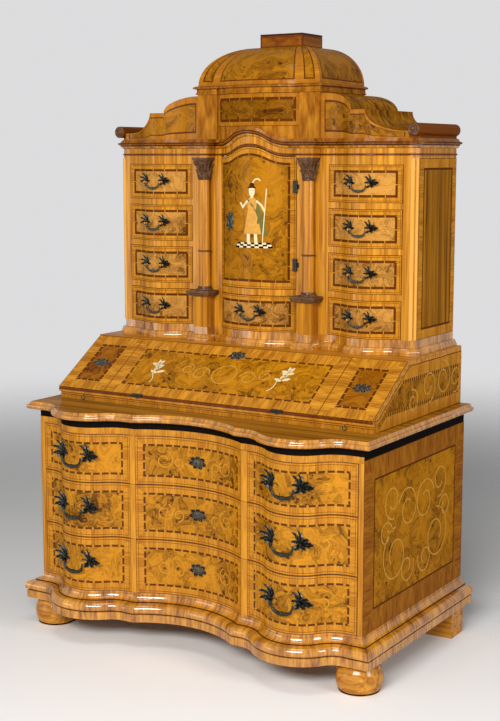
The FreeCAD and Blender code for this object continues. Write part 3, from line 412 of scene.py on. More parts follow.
    # Name, tone, roughness, coat, share of dark clouds.
    stains = {
        "ebony": ("Ebonised pearwood", tone("ebony"), 0.3, 0.04),
        "carved": ("Carved darkened limewood", tone("carved"), 0.4, 0.2, 0.6),
        "ivory": ("Bone inlay", ivory, 0.35, 0.1, 0.12),
        "moss": ("Green stained maple inlay", tone("moss"), 0.35, 0.2),
        "maple": ("Maple strapwork inlay", mix(tone("maple"), amber, 0.4), 0.35, 0.1),
        "vein": ("Pale walnut inlay", mix(amber, gold, 0.7), 0.35, 0.2),
        # Also the painted shade lines of the base, the cornice and the desk's rail.
        "inlay": ("Dark plum inlay", plum, 0.35, 0.2),
        "robe": ("Fruitwood inlay", mix(gold, ivory, 0.12), 0.35, 0.05),
    }
    metals = {
        "brass": ("Patinated cast brass", brass),
        "bail": ("Darkened brass", mix(patina, brass, 0.45)),
        "iron": ("Blackened iron", mix(patina, brass, 0.35)),
    }
    makers = ((inlaid, panels), (crossbanded, strips), (plain_walnut, solids), (dull, stains),
              (patinated, metals))
    return {key: make(*values) for make, table in makers for key, values in table.items()}


def select_only(piece):
    """Leave one object selected and active."""
    if bpy.context.mode != "OBJECT":
        bpy.ops.object.mode_set(mode="OBJECT")
    bpy.ops.object.select_all(action="DESELECT")
    if piece:
        piece.select_set(True)
        bpy.context.view_layer.objects.active = piece


def bent_grid(name, points):
    """Grid through an array of points, whose faces look to the right of its columns' run."""
    rows, columns = points.shape[:2]
    select_only(None)
    bpy.ops.mesh.primitive_grid_add(
        x_subdivisions=columns - 1, y_subdivisions=rows - 1, size=1, calc_uvs=False)
    piece = bpy.context.object
    piece.name = piece.data.name = name
    piece.data.vertices.foreach_set("co", np.ascontiguousarray(points, dtype=np.float32).ravel())
    piece.data.update()
    return piece


def run_lengths(points):
    """Length from the first point to each point of a line."""
    steps = np.linalg.norm(np.diff(points, axis=0), axis=1)
    return np.concatenate([[0.0], np.cumsum(steps)])


def map_panels(piece, points, cuts):
    """Write the panel and extent maps of a bent grid whose columns are parted at some of them."""
    rows, columns = points.shape[:2]
    across = run_lengths(points[rows // 2])
    up = np.array([run_lengths(points[:, c]) for c in range(columns)]).T
    mesh = piece.data
    corner = np.zeros(len(mesh.loops), np.int32)
    mesh.loops.foreach_get("vertex_index", corner)
    column = corner % columns
    row = corner // columns
    first_column = np.repeat(column.reshape(-1, 4).min(1), 4)
    place = np.zeros((len(corner), 2))
    extent = np.zeros((len(corner), 2))
    tall = np.median(up[-1])
    for start, end in zip(cuts, cuts[1:]):
        chosen = (first_column >= start) & (first_column < end)
        half = (across[end] - across[start]) / 2
        place[chosen, 0] = across[column[chosen]] - across[start] - half
        place[chosen, 1] = (up[row[chosen], column[chosen]] / up[-1, column[chosen]] - 0.5) * tall
        extent[chosen] = (half, tall / 2)
    for name, values in (("panel", place), ("extent", extent)):
        layer = mesh.uv_layers.new(name=name)
        layer.data.foreach_set("uv", values.astype(np.float32).ravel())
    return first_column[::4]


def sheet(name, points, material):
    """Bent grid in one material, mapped as one panel."""
    piece = bent_grid(name, points)
    map_panels(piece, points, [0, points.shape[1] - 1])
    piece.data.materials.append(material)
    return piece


def smooth(piece, angle=32):
    """Shade smooth, with sharp edges above an angle."""
    select_only(piece)
    bpy.ops.object.shade_smooth_by_angle(angle=radians(angle))


def thicken(piece, thickness):
    """Give a sheet its thickness, behind its face."""
    select_only(piece)
    wall = piece.modifiers.new("Thickness", "SOLIDIFY")
    wall.thickness = thickness
    wall.offset = -1
    bpy.ops.object.modifier_apply(modifier=wall.name)


def settle(piece, body, slot, *nodes):
    """Fix a finished piece to its body, in place of CAD nodes if any. The slot is not used."""
    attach(piece, body)
    if nodes:
        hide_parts(*nodes)
    return piece


def veneer(name, points, body, slot, *kinds, cuts=None):
    """Sheet of veneer, in one finish or parted at some columns into panels of several."""
    cuts = cuts or [0, points.shape[1] - 1]
    materials = [FINISH[kind] for kind in kinds]
    piece = bent_grid(name, points)
    face_column = map_panels(piece, points, cuts)
    used = list(dict.fromkeys(materials))
    for material in used:
        piece.data.materials.append(material)
    index = np.zeros(len(piece.data.polygons), np.int32)
    for (start, end), material in zip(zip(cuts, cuts[1:]), materials):
        index[(face_column >= start) & (face_column < end)] = used.index(material)
    piece.data.polygons.foreach_set("material_index", index)
    thicken(piece, sizes().veneer)
    smooth(piece)
    return settle(piece, body, slot)


def offsets(path):
    """Outward offset at each point of a path, mitred at its corners."""
    path = np.array(path, dtype=float)
    run = np.diff(path, axis=0)
    run /= np.linalg.norm(run, axis=1)[:, None]
    normal = np.stack([run[:, 1], -run[:, 0]], 1)
    before = np.vstack([normal[:1], normal])
    after = np.vstack([normal, normal[-1:]])
    return (before + after) / (1 + (before * after).sum(1))[:, None]


def along_path(path, profile, lift=None):
    """Array of points: a profile of (outward, height) carried along a plan path."""
    path = np.array(path)
    mitre = offsets(path)
    rise = np.array([lift(x) if lift else 0.0 for x, y in path])
    rows = []
    for out, z in profile:
        rows.append(np.column_stack([path + mitre * out, rise + z]))
    return np.array(rows)


def cap(piece, indices):
    """Close a run of vertices with one face."""
    select_only(piece)
    bpy.ops.object.mode_set(mode="EDIT")
    bpy.ops.mesh.select_all(action="DESELECT")
    bpy.ops.object.mode_set(mode="OBJECT")
    for index in indices:
        piece.data.vertices[index].select = True
    bpy.ops.object.mode_set(mode="EDIT")
    bpy.ops.mesh.select_mode(type="VERT")
    bpy.ops.mesh.edge_face_add()
    bpy.ops.object.mode_set(mode="OBJECT")


def weld(piece):
    """Merge doubled vertices and turn all faces outwards."""
    select_only(piece)
    bpy.ops.object.mode_set(mode="EDIT")
    bpy.ops.mesh.select_all(action="SELECT")
    bpy.ops.mesh.remove_doubles(threshold=0.00001)
    bpy.ops.mesh.normals_make_consistent(inside=False)
    bpy.ops.object.mode_set(mode="OBJECT")


def moulding(name, path, profile, back_mm, finish, slot, lift=None, nodes=()):
    """Moulding of a profile along a path, closed by a flat back at an inward offset."""
    back = back_mm * MM
    ring = list(profile) + [(-back, profile[-1][1]), (-back, profile[0][1]), profile[0]]
    points = along_path(path, ring, lift)
    piece = sheet(name, points, FINISH[finish])
    columns = points.shape[1]
    for edge in (0, columns - 1):
        cap(piece, [row * columns + edge for row in range(len(ring) - 1)])
    weld(piece)
    smooth(piece)
    settle(piece, ROOT, slot, *nodes)


def board(name, path, profile, finish, slot, *nodes, top=None):
    """Board whose edge is a profile along a path, with a flat top, bottom and back."""
    points = along_path(path, profile)
    piece = sheet(name, points, FINISH[finish])
    rows, columns = points.shape[:2]
    last = (rows - 1) * columns
    cap(piece, range(columns))
    cap(piece, range(last, last + columns))
    cap(piece, [r * columns for r in range(rows)] + [r * columns + columns - 1 for r in range(rows)])
    weld(piece)
    if top:
        piece.data.materials.append(FINISH[top])
        max(piece.data.polygons, key=lambda face: face.area * face.normal.z).material_index = 1
    smooth(piece)
    settle(piece, ROOT, slot, *nodes)


def placed(pairs, out=0.0, up=0.0):
    """Points of a profile given as (outward, height) in millimetres, moved to a place."""
    return [(out + across * MM, up + high * MM) for across, high in pairs]


def s_curve(start, end, steps=12):
    """Two equal arcs between two places, level at both ends."""
    run = (end[0] - start[0]) / 2
    rise = (end[1] - start[1]) / 2
    turn = 2 * atan2(abs(rise), abs(run))
    radius = abs(run) / sin(turn)
    first = []
    for k in range(steps + 1):
        angle = turn * k / steps
        across, up = radius * sin(angle), radius * (1 - cos(angle))
        first.append((start[0] + copysign(across, run), start[1] + copysign(up, rise)))
    return first + [(start[0] + end[0] - x, start[1] + end[1] - y) for x, y in reversed(first[:-1])]


def bowed(half, edge_y, apex_y, steps=28):
    """Arc over a chord across the centre, from left to right."""
    rise = abs(apex_y - edge_y)
    radius = (half * half + rise * rise) / (2 * rise)
    sign = copysign(1, apex_y - edge_y)
    spread = asin(half / radius)
    angles = [spread * (2 * k / steps - 1) for k in range(steps + 1)]
    return [(radius * sin(a), apex_y - sign * radius * (1 - cos(a))) for a in angles]


def joined(*runs):
    """One path of several runs of points, without doubled points."""
    path = []
    for run in runs:
        for point in run:
            if not path or abs(point[0] - path[-1][0]) + abs(point[1] - path[-1][1]) > 1e-6:
                path.append(point)
    return path


def mirrored(run):
    """A run of points on the other side, in the order of travel."""
    return [(-x, y) for x, y in reversed(run)]


def chest_front(end_x):
    """Path of the serpentine chest front from left to right, out to an end."""
    size = sizes()
    side_low, side_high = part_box("chest_sides")
    corner_y = side_low.y
    lobe_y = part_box("ebonised_band")[0].y
    start = size.crease_x + size.crease_flat
    end = side_high.x - size.corner_flat
    lobe_x = (start + end) / 2
    crease_y = corner_y - size.corner_in
    right = joined([(size.crease_x, crease_y)], s_curve((start, crease_y), (lobe_x, lobe_y)),
                   s_curve((lobe_x, lobe_y), (end, corner_y)), [(end_x, corner_y)])
    return joined(mirrored(right), bowed(size.crease_x, crease_y, crease_y + size.hollow_in), right)


def chest_around():
    """Path round the chest from its back left corner to its back right corner."""
    low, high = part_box("chest_sides")
    return joined([(low.x, high.y)], chest_front(high.x), [(high.x, high.y)])


def cabinet_lines():
    """The upper cabinet's half width, back, front plane and cant."""
    low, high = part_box("cabinet_sides")
    front_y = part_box("pedestals")[1].y
    return high.x, high.y, front_y, low.y - front_y


def upper_lobe():
    """Path of the right upper lobe with the flats beside it."""
    size = sizes()
    half, _, front_y, cant = cabinet_lines()
    start = size.bow_x + size.bay_width + size.lobe_margin
    end = half - cant - size.stile - size.lobe_margin
    middle = (start + end) / 2
    lobe_y = front_y - size.lobe_out
    return joined(s_curve((start, front_y), (middle, lobe_y)), s_curve((middle, lobe_y), (end, front_y)))


def door_bow():
    """Path of the upper cabinet's bowed centre."""
    front_y = cabinet_lines()[2]
    return bowed(sizes().bow_x, front_y, front_y - sizes().bow_out)


def depth_at(x, path):
    """Depth of a plan path at some x."""
    return float(np.interp(x, *zip(*path)))


def column_spot():
    """Centre of the right column in plan."""
    low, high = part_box("column_shafts")
    return high.x - (high.y - low.y) / 2, (low.y + high.y) / 2


def cabinet_around(block_mm):
    """Path round the upper cabinet, broken forward over the columns by blocks of some half width."""
    half, back, front_y, cant = cabinet_lines()
    column_x, column_y = column_spot()
    block = block_mm * MM
    block_y = column_y - block
    inner = [(column_x - block, front_y), (column_x - block, block_y),
             (column_x + block, block_y), (column_x + block, front_y)]
    right = joined(inner, upper_lobe(), [(half - cant, front_y), (half, front_y + cant), (half, back)])
    return joined(mirrored(right), door_bow(), right)


def arch_lift(rise):
    """Height of an arch above its springing, as a function of x."""
    half = sizes().arch_half
    radius = (half * half + rise * rise) / (4 * rise)

    def lift(x):
        inward = abs(x)
        if inward >= half:
            return 0.0
        outer = half - inward
        if inward < outer:
            return rise - radius + sqrt(radius * radius - inward * inward)
        return radius - sqrt(radius * radius - outer * outer)
    return lift


def round_profile(start, end, bulge, steps=8):
    """Profile of a rounded member between two (outward, height) points."""
    points = []
    for k in range(steps + 1):
        share = k / steps
        out = start[0] + (end[0] - start[0]) * share + bulge * sin(pi * share) ** 0.8
        points.append((out, start[1] + (end[1] - start[1]) * (1 - cos(pi * share)) / 2))
    return points


def side_panels(name, node, finish):
    """Veneer of the two side boards of a case."""
    low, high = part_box(node)
    for hand, side in SIDES:
        x = side * (high.x + sizes().proud)
        ends = (low.y, high.y) if side > 0 else (high.y, low.y)
        points = np.array([[(x, y, z) for y in ends] for z in (low.z, high.z)])
        veneer(f"{name}_{hand}", points, ROOT, "walnut_side", finish)


class BUREAU_OT_solids(bpy.types.Operator):
    """Give the solids that stay their woods and metal"""
    bl_idname = "bureau.solids"
    bl_label = "Finish the solids"

    def execute(self, context):
        FINISH.update(finishes())
        by_slot = {
            "walnut_side": "upright", "inner_wood": "boards", "ebonised_wood": "ebony",
            "walnut_moulding": "level", "walnut_foot": "foot", "walnut_front": "softwood",
            "upper_front": "upright", "column_wood": "column", "carved_dark": "carved",
            "pediment_veneer": "upright", "finial_veneer": "finial", "patinated_brass": "brass",
        }
        for part in frame["record"]["subparts"]:
            piece = frame["nodes"][part["node"]]
            piece.data.materials.clear()
            piece.data.materials.append(FINISH[by_slot[part["material_slot"]]])
        for name in ("loper_left", "loper_right", "fall_flap", "desk_carcase"):
            frame["nodes"][name].data.materials[0] = FINISH["level"]
        frame["nodes"]["pedestals"].data.materials[0] = FINISH["pedestal"]
        frame["nodes"]["fixed_hinges"].data.materials[0] = FINISH["iron"]
        return {"FINISHED"}


class BUREAU_OT_chest(bpy.types.Operator):
    """Lay the veneer of the chest's drawers and sides"""
    bl_idname = "bureau.chest"
    bl_label = "Veneer the chest"

    def execute(self, context):
        size = sizes()
        strip_edges = (size.crease_x, size.crease_x + size.crease_flat)
        for number in (1, 2, 3):
            low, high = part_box(f"chest_drawer_{number}")
            path = chest_front(high.x)
            points = along_path(path, [(size.proud, low.z), (size.proud, high.z)])
            edges = [low.x, -strip_edges[1], -strip_edges[0], strip_edges[0], strip_edges[1], high.x]
            cuts = [int(np.argmin([abs(x - edge) for x, y in path])) for edge in edges]
            veneer(f"drawer_front_{number}", points, f"chest drawer {number}", "walnut_front",
                   "drawer", "strip", "drawer", "strip", "drawer", cuts=cuts)
        side_panels("chest_side", "chest_sides", "side")
        return {"FINISHED"}


BASE_STEP = ((0, 0), (0, 25), (-5, 26), (-5, 29))
BASE_TORUS = ((-4, 29), (-14, 58))
BASE_COVE = ((20, 59), (19, 62), (12, 64), (7, 69), (5, 75), (4, 78), (1, 79))
TOP_ROUND = ((-9, 1), (-6, 16))
TOP_EDGE = ((-10, -6), (-14, 0))
CORNICE_FOOT = ((4, 1), (12, 9))
PLINTH_BLOCK = 27
CORNICE_BLOCK = 32


class BUREAU_OT_mouldings(bpy.types.Operator):
    """Run the base, top, plinth and cornice mouldings"""
    bl_idname = "bureau.mouldings"
    bl_label = "Run the mouldings"

    def execute(self, context):
        self.base()
        self.chest_top()
        self.plinth()
        self.cornice()
        return {"FINISHED"}

    def swept(self, name, path, profile, back_mm, finish, lift=None, nodes=()):
        """Moulding on the carcase, in one of the finishes."""
        moulding(name, path, profile, back_mm, finish, "walnut_moulding", lift, nodes)

    def base(self):
        """Torus round the chest's foot, with dark strips of painted shade in the hollows below and above it."""
        low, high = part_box("base_moulding")
        around = chest_around()
        edge = high.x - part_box("chest_sides")[1].x - 5 * MM
        profile = placed(BASE_STEP, edge, low.z)
        profile += round_profile(*placed(BASE_TORUS, edge, low.z), 13.4 * MM, 12)
        profile += placed(BASE_COVE, 0.0, low.z) + [(1 * MM, high.z)]
        self.swept("base_moulding_swept", around, profile, 30, "moulding", nodes=("base_moulding",))
        # Painted shade: thin dark plum strips laid in the hollows of the moulding, where shadow falls.
        for name, out, rise in (("lower", edge - 4 * MM, 25.5), ("upper", 20.5 * MM, 59)):
            groove = [(out, low.z + rise * MM), (out, low.z + rise * MM + 3 * MM)]
            self.swept(f"base_groove_{name}", around, groove, 30, "inlay")

    def chest_top(self):
        """Top board of the chest with its moulded edge."""
        low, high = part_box("chest_top")
        out = high.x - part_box("chest_sides")[1].x
        profile = [(out - 10 * MM, low.z)] + round_profile(*placed(TOP_ROUND, out, low.z), 6 * MM)
        profile += [(out - 9 * MM, low.z + 17 * MM)] + placed(TOP_EDGE, out, high.z)
        board("chest_top_board", chest_around(), profile, "moulding", "walnut_moulding", "chest_top", top="top")

    def plinth(self):
        """Moulding at the foot of the upper cabinet."""
        low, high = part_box("cabinet_moulding")
        out = high.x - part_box("cabinet_sides")[1].x
        profile = placed(((0, 0), (0, 9)), out, low.z)
        profile += round_profile((out - 2 * MM, low.z + 10 * MM), (6 * MM, low.z + 22 * MM), 2 * MM)
        profile += [(1 * MM, low.z + 23 * MM), (1 * MM, high.z)]
        self.swept("plinth_swept", cabinet_around(PLINTH_BLOCK), profile, 15, "moulding",
                   nodes=("cabinet_moulding",))

    def cornice(self):
        """Arched cornice with dark lines of painted shade on its edge, and the bead that follows the door's
        arch below it.
        """
        size = sizes()
        low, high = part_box("cornice")
        out = high.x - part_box("cabinet_sides")[1].x
        around = cabinet_around(CORNICE_BLOCK)
        lift = arch_lift(size.arch_rise)
        ledge = (12 * MM, low.z + 12 * MM)
        profile = [(3 * MM, low.z)] + round_profile(*placed(CORNICE_FOOT, 0.0, low.z), 1 * MM) + [ledge]
        self.swept("cornice_swept", around, profile, 12, "moulding", lift, ("cornice",))
        bead_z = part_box("frieze")[0].z + 9 * MM
        bead = round_profile((1 * MM, bead_z), (1 * MM, bead_z + 6 * MM), 3 * MM)
        self.swept("frieze_bead", around, bead, 6, "dark_moulding", arch_lift(size.door_arch))
        round_start = (15 * MM, low.z + 12.5 * MM)
        profile = [ledge] + round_profile(round_start, (out - 3 * MM, low.z + 19 * MM), 3 * MM)
        profile += [(out - 4 * MM, low.z + 20 * MM), (12 * MM, low.z + 22 * MM)]
        profile += [(6 * MM, high.z - size.arch_rise)]
        self.swept("cornice_edge", around, profile, 12, "cornice", lift)
        # Painted shade: thin dark plum strips on the fillet and on the round, as shadow lines along the
        # cornice's edge.
        for name, groove_out, rise in (("lower", 12.4 * MM, 8.5), ("upper", out - 0.9 * MM, 16.4)):
            groove = [(groove_out, low.z + rise * MM), (groove_out, low.z + rise * MM + 3.2 * MM)]
            self.swept(f"cornice_groove_{name}", around, groove, 12, "inlay", lift)


FLAP_PANEL = 412 * MM
FLAP_THICKNESS = 20 * MM
FLAP_PLAY = 1 * MM
RAIL_HEIGHT = 38.5 * MM
DESK_TOP = 18 * MM
RAIL_SETBACK = 11 * MM


class BUREAU_OT_desk(bpy.types.Operator):
    """Lay the veneer of the fall flap and the desk's sides"""
    bl_idname = "bureau.desk"
    bl_label = "Veneer the desk"

    def execute(self, context):
        size = sizes()
        flap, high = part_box("fall_flap")
        lean = atan2(high.z - flap.z, FLAP_LENGTH * cos(FLAP_LEAN))
        reach = (high.z - flap.z) / sin(lean)
        foot = flap + Vector((0, -sin(lean), cos(lean))) * size.proud
        rows = []
        for up in (0.0, reach):
            place = (foot.y + cos(lean) * up, foot.z + sin(lean) * up)
            rows.append([(x, *place) for x in (flap.x, -FLAP_PANEL, FLAP_PANEL, high.x)])
        veneer("flap_veneer", np.array(rows), "fall flap", "walnut_front",
               "flap_side", "flap_centre", "flap_side", cuts=[0, 1, 2, 3])
        low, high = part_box("desk_carcase")
        slope_y = flap.y + (FLAP_THICKNESS + FLAP_PLAY) / sin(lean)
        rail_z = low.z + RAIL_HEIGHT
        top_z = high.z - DESK_TOP
        corner_y = slope_y + (top_z - rail_z) / tan(lean)
        outline = [(low.y + RAIL_SETBACK, rail_z), (slope_y, rail_z), (corner_y, top_z), (high.y, top_z)]
        for name, side in SIDES:
            x = side * (high.x + size.proud)
            run = outline if side > 0 else outline[::-1]
            points = np.array([[(x, y, low.z) for y, z in run], [(x, y, z) for y, z in run]])
            veneer(f"desk_side_{name}", points, ROOT, "walnut_side", "desk_side")
        return {"FINISHED"}


class BUREAU_OT_upper(bpy.types.Operator):
    """Lay the veneer of the upper cabinet's drawers, door and sides"""
    bl_idname = "bureau.upper"
    bl_label = "Veneer the upper cabinet"

    def execute(self, context):
        size = sizes()
        front_y = cabinet_lines()[2]
        for number in (1, 2, 3, 4):
            low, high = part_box(f"upper_drawer_right_{number}")
            path = joined([(low.x, front_y)], upper_lobe(), [(high.x, front_y)])
            for name, side in SIDES:
                run = path if side > 0 else mirrored(path)
                points = along_path(run, [(size.proud, low.z), (size.proud, high.z)])
                veneer(f"small_front_{name}_{number}", points, f"upper drawer {name} {number}", "upper_front",
                       "small_drawer")
        low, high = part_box("centre_drawer")
        bow = door_bow()
        points = along_path(bow, [(size.proud, low.z), (size.proud, high.z)])
        points[:, :, 0] *= high.x / size.bow_x
        veneer("centre_front", points, "centre drawer", "upper_front", "small_drawer")
        self.door(bow)
        side_panels("cabinet_side", "cabinet_sides", "cabinet_side")
        return {"FINISHED"}

    def door(self, bow):
        """Veneer of the bowed door up to its arch, and a stop behind its top whose dark colour is painted shade
        in the gap over the door.
        """
        size = sizes()
        low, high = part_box("door")
        lift = arch_lift(size.door_arch)
        spring = high.z - size.door_arch
        steps = 10
        rows = []
        for share in [k / steps for k in range(steps + 1)]:
            row = []
            for (x, y), out in zip(bow, offsets(bow)):
                place_x = (x + out[0] * size.proud) * high.x / size.bow_x
                top = spring + lift(place_x) + 2.4 * MM
                row.append((place_x, y + out[1] * size.proud, low.z + (top - low.z) * share))
            rows.append(row)
        veneer("door_veneer", np.array(rows), "door", "upper_front", "door")
        # Partly painted shade: a stop closes the gap over the door, and its dark finish stands for the shadow
        # in that gap.
        stop = along_path(bow, placed(((-24, -2), (-24, 14)), 0.0, spring))
        stop[1, :, 2] += [lift(x) for x, y in bow]
        veneer("door_stop_painted_shade", stop, ROOT, "upper_front", "dark_moulding")


def patch(name, rows, place, columns, material):
    """Flat inlay given as (height, left, right) rows, laid on a surface by a place function."""
    shares = [k / columns for k in range(columns + 1)]
    points = np.array([[place(left + (right - left) * share, z) for share in shares]
                       for z, left, right in rows])
    return sheet(name, points, material)


def ribbon(name, line, width, place, material):
    """Band of even width along a flat line, laid on a surface by a place function."""
    line = np.array(line)
    side = offsets(line) * width / 2
    points = np.array([[place(*point) for point in edge] for edge in (line + side, line - side)])
    return sheet(name, points, material)


def scroll(centre, radius, end_radius, start, turns, steps):
    """Spiral line round a centre, from an angle and over a number of turns."""
    line = []
    for k in range(steps + 1):
        share = k / steps
        angle = 2 * pi * (start + turns * share)
        reach = radius + (end_radius - radius) * share
        line.append((centre[0] + reach * cos(angle), centre[1] + reach * sin(angle)))
    return line


def combined(name, pieces):
    """One object of several pieces."""
    select_only(pieces[0])
    for piece in pieces[1:]:
        piece.select_set(True)
    bpy.ops.object.join()
    piece = bpy.context.object
    piece.name = piece.data.name = name
    return piece


def copied(piece, name, matrix):
    """Copy of a piece with its own mesh, moved by a matrix."""
    twin = bpy.data.objects.new(name, piece.data.copy())
    twin.data.name = name
    bpy.context.scene.collection.objects.link(twin)
    twin.data.transform(matrix)
    if matrix.determinant() < 0:
        twin.data.flip_normals()
    return twin


def settle_pair(model, slot, *nodes):
    """Fix a piece of the right side and its mirror image on the left to the carcase."""
    twin = copied(model, model.name.replace("right", "left"), MIRROR)
    settle(model, ROOT, slot, *nodes)
    settle(twin, ROOT, slot)


def scroll_bands(scrolls, middle, hands, width, place, material):
    """Ribbons along spirals given in millimetres from a middle, on one hand or on both."""
    pieces = []
    for across, up, radius, end_radius, start, turns in scrolls:
        for hand in (hands if across else hands[:1]):
            centre = (middle[0] + hand * across * MM, middle[1] + up * MM)
            angle = start if hand > 0 else 0.5 - start
            line = scroll(centre, radius * MM, end_radius * MM, angle, hand * turns, 40)
            pieces.append(ribbon("scroll", line, width, place, material))
    return pieces


def discard(*pieces):
    """Remove pieces that were only models for copies."""
    for piece in pieces:
        bpy.data.objects.remove(piece)


def turned(name, profile, centre, material, segments=40):
    """Turned piece: a profile of (radius, height) round an upright axis."""
    angles = [2 * pi * k / segments for k in range(segments + 1)]
    points = np.array([[(centre[0] + r * cos(a), centre[1] + r * sin(a), z) for a in angles]
                       for r, z in profile])
    piece = sheet(name, points, material)
    weld(piece)
    smooth(piece, 40)
    return piece


def tube(name, line, radii, material, segments=10):
    """Round bar along a line in space, with a radius at each point and closed ends."""
    line = np.array(line)
    run = np.gradient(line, axis=0)
    run /= np.linalg.norm(run, axis=1)[:, None]
    side = np.cross(run, (0, 1, 0))
    side /= np.linalg.norm(side, axis=1)[:, None]
    over = np.cross(side, run)
    angles = [2 * pi * k / segments for k in range(segments + 1)]
    rings = []
    for point, radius, first, second in zip(line, radii, side, over):
        rings.append([point + radius * (first * cos(a) + second * sin(a)) for a in angles])
    points = np.array([[line[0]] * (segments + 1)] + rings + [[line[-1]] * (segments + 1)])
    piece = bent_grid(name, points)
    weld(piece)
    piece.data.materials.append(material)
    smooth(piece, 60)
    return piece


def leaf(name, reach, width, bend, lift, matrix, material, curl=0.25):
    """Acanthus leaf along X that turns in its plane, lobed at its edges and raised along its rib."""
    rows = 21
    columns = 7
    heading = 0.0
    spot = np.zeros(2)
    points = []
    for row in range(rows):
        share = row / (rows - 1)
        half = width * (0.3 + 0.7 * sin(pi * share ** 0.75)) * (1 + 0.42 * cos(2 * pi * 3.5 * share + 1.2))
        half *= 1 - share ** 9
        rise = lift * sin(pi * share * 0.75) + curl * reach * share ** 3
        line = []
        for column in range(columns):
            across = 2 * column / (columns - 1) - 1
            ridge = 0.45 * width * (1 - abs(across)) * (1 - 0.6 * share) + 0.15 * width * cos(3 * pi * across)
            line.append((spot[0] - sin(heading) * across * half, spot[1] + cos(heading) * across * half,
                         rise + ridge))
        points.append(line)
        heading = 1.9 * bend * share ** 2
        spot = spot + np.array([cos(heading), sin(heading)]) * reach / (rows - 1)
    piece = bent_grid(name, np.array(points).transpose(1, 0, 2))
    piece.data.transform(matrix)
    thicken(piece, 1.4 * MM)
    piece.data.materials.append(material)
    smooth(piece, 60)
    return piece


SPRAY_BOSS = ((0, -7), (3, -6.6), (5.4, -5), (6.4, -2.5), (7.4, -1), (7.4, 0), (0, 0))


def spray(name, turns, material):
    """Spray of leaves round a boss, in a plane that looks forward, for the foot of a handle."""
    pieces = []
    for angle, reach, bend in turns:
        matrix = FORWARD @ Matrix.Rotation(radians(angle), 4, "Z")
        pieces.append(leaf("spray_leaf", 1.25 * reach, 7 * MM, radians(bend), 4 * MM, matrix, material))
    boss = turned("spray_boss", placed(SPRAY_BOSS), (0, 0), material, 20)
    boss.data.transform(Matrix.Rotation(radians(-90), 4, "X"))
    weld(boss)
    return combined(name, pieces + [boss])


def keyhole_plate(name, half_wide, half_high, material):
    """Oval plate with a pierced middle and a rim of small leaves, looking forward."""
    pieces = []
    count = 14
    for index in range(count):
        angle = 2 * pi * index / count
        place = Matrix.Translation((half_wide * 0.5 * cos(angle), half_high * 0.5 * sin(angle), 0))
        reach = 0.55 * sqrt((half_wide * cos(angle)) ** 2 + (half_high * sin(angle)) ** 2)
        matrix = FORWARD @ place @ Matrix.Rotation(angle, 4, "Z")
        bend = radians(45 if index % 2 else -45)
        pieces.append(leaf("rim_leaf", reach, 4.2 * MM, bend, 2 * MM, matrix, material, 0.12))
    angles = [2 * pi * k / 32 for k in range(33)]
    rim = [(0.62 * half_wide * cos(a), -1.5 * MM, 0.62 * half_high * sin(a)) for a in angles]
    pieces.append(tube(f"{name}_rim", rim, [1.5 * MM] * len(rim), material, 8))
    shield = [(0.5, 0.0), (0.5, 1.6), (0.42, 2.4), (0.12, 2.8), (0.1, 1.0), (0.1, 0.0)]
    points = np.array([[(half_wide * r * cos(a), -z * MM, half_high * r * sin(a)) for a in angles]
                       for r, z in shield])
    disc = bent_grid(f"{name}_shield", points)
    disc.data.materials.append(material)
    weld(disc)
    smooth(disc)
    pieces.append(disc)
    return combined(name, pieces)


# Leaves of the sprays: direction in degrees, reach, bend in degrees.
LEFT_SPRAY = ((72, 36 * MM, 25), (98, 46 * MM, 30), (124, 42 * MM, 45), (155, 34 * MM, 50),
              (195, 24 * MM, -50), (240, 20 * MM, 60), (35, 22 * MM, -50))
RIGHT_SPRAY = ((100, 38 * MM, 30), (72, 42 * MM, 30), (46, 40 * MM, -30), (22, 46 * MM, -20),
               (2, 52 * MM, 22), (-35, 24 * MM, 50), (135, 22 * MM, 50), (250, 18 * MM, -60))
POST = ((0, 0), (1.3, 0), (1.3, 0.12), (0.8, 0.3), (0.75, 0.6), (1.05, 0.8), (1.0, 0.95), (0, 1))
POST_RADIUS = 4.6 * MM
PLATE_HALF = (33 * MM, 20 * MM)
# How far the axis lies below the top of a bail, then drop and radius of the bail.
CHEST_BAIL = (2.7 * MM, 31 * MM, 4.2 * MM)
SMALL_BAIL = (1.9 * MM, 21 * MM, 2.8 * MM)
BAIL_SHARE = 0.8
SMALL_SCALE = 0.66
CHEST_POST = 47.5 * MM
SMALL_POST = 33 * MM
HINGE_HALF = 21 * MM
HINGE_CORE = 7.86 * MM
HINGE_RADIUS = 4 * MM
HINGE_PROUD = 0.6 * MM
FLAP_HINGE = 270 * MM
DOOR_HINGES = (80 * MM, 337 * MM)
# Keyhole plates of the flap as shares of its half width and of its length.
FLAP_PLATES = ((-0.84, 0.5), (0.0, 0.85), (0.84, 0.5))


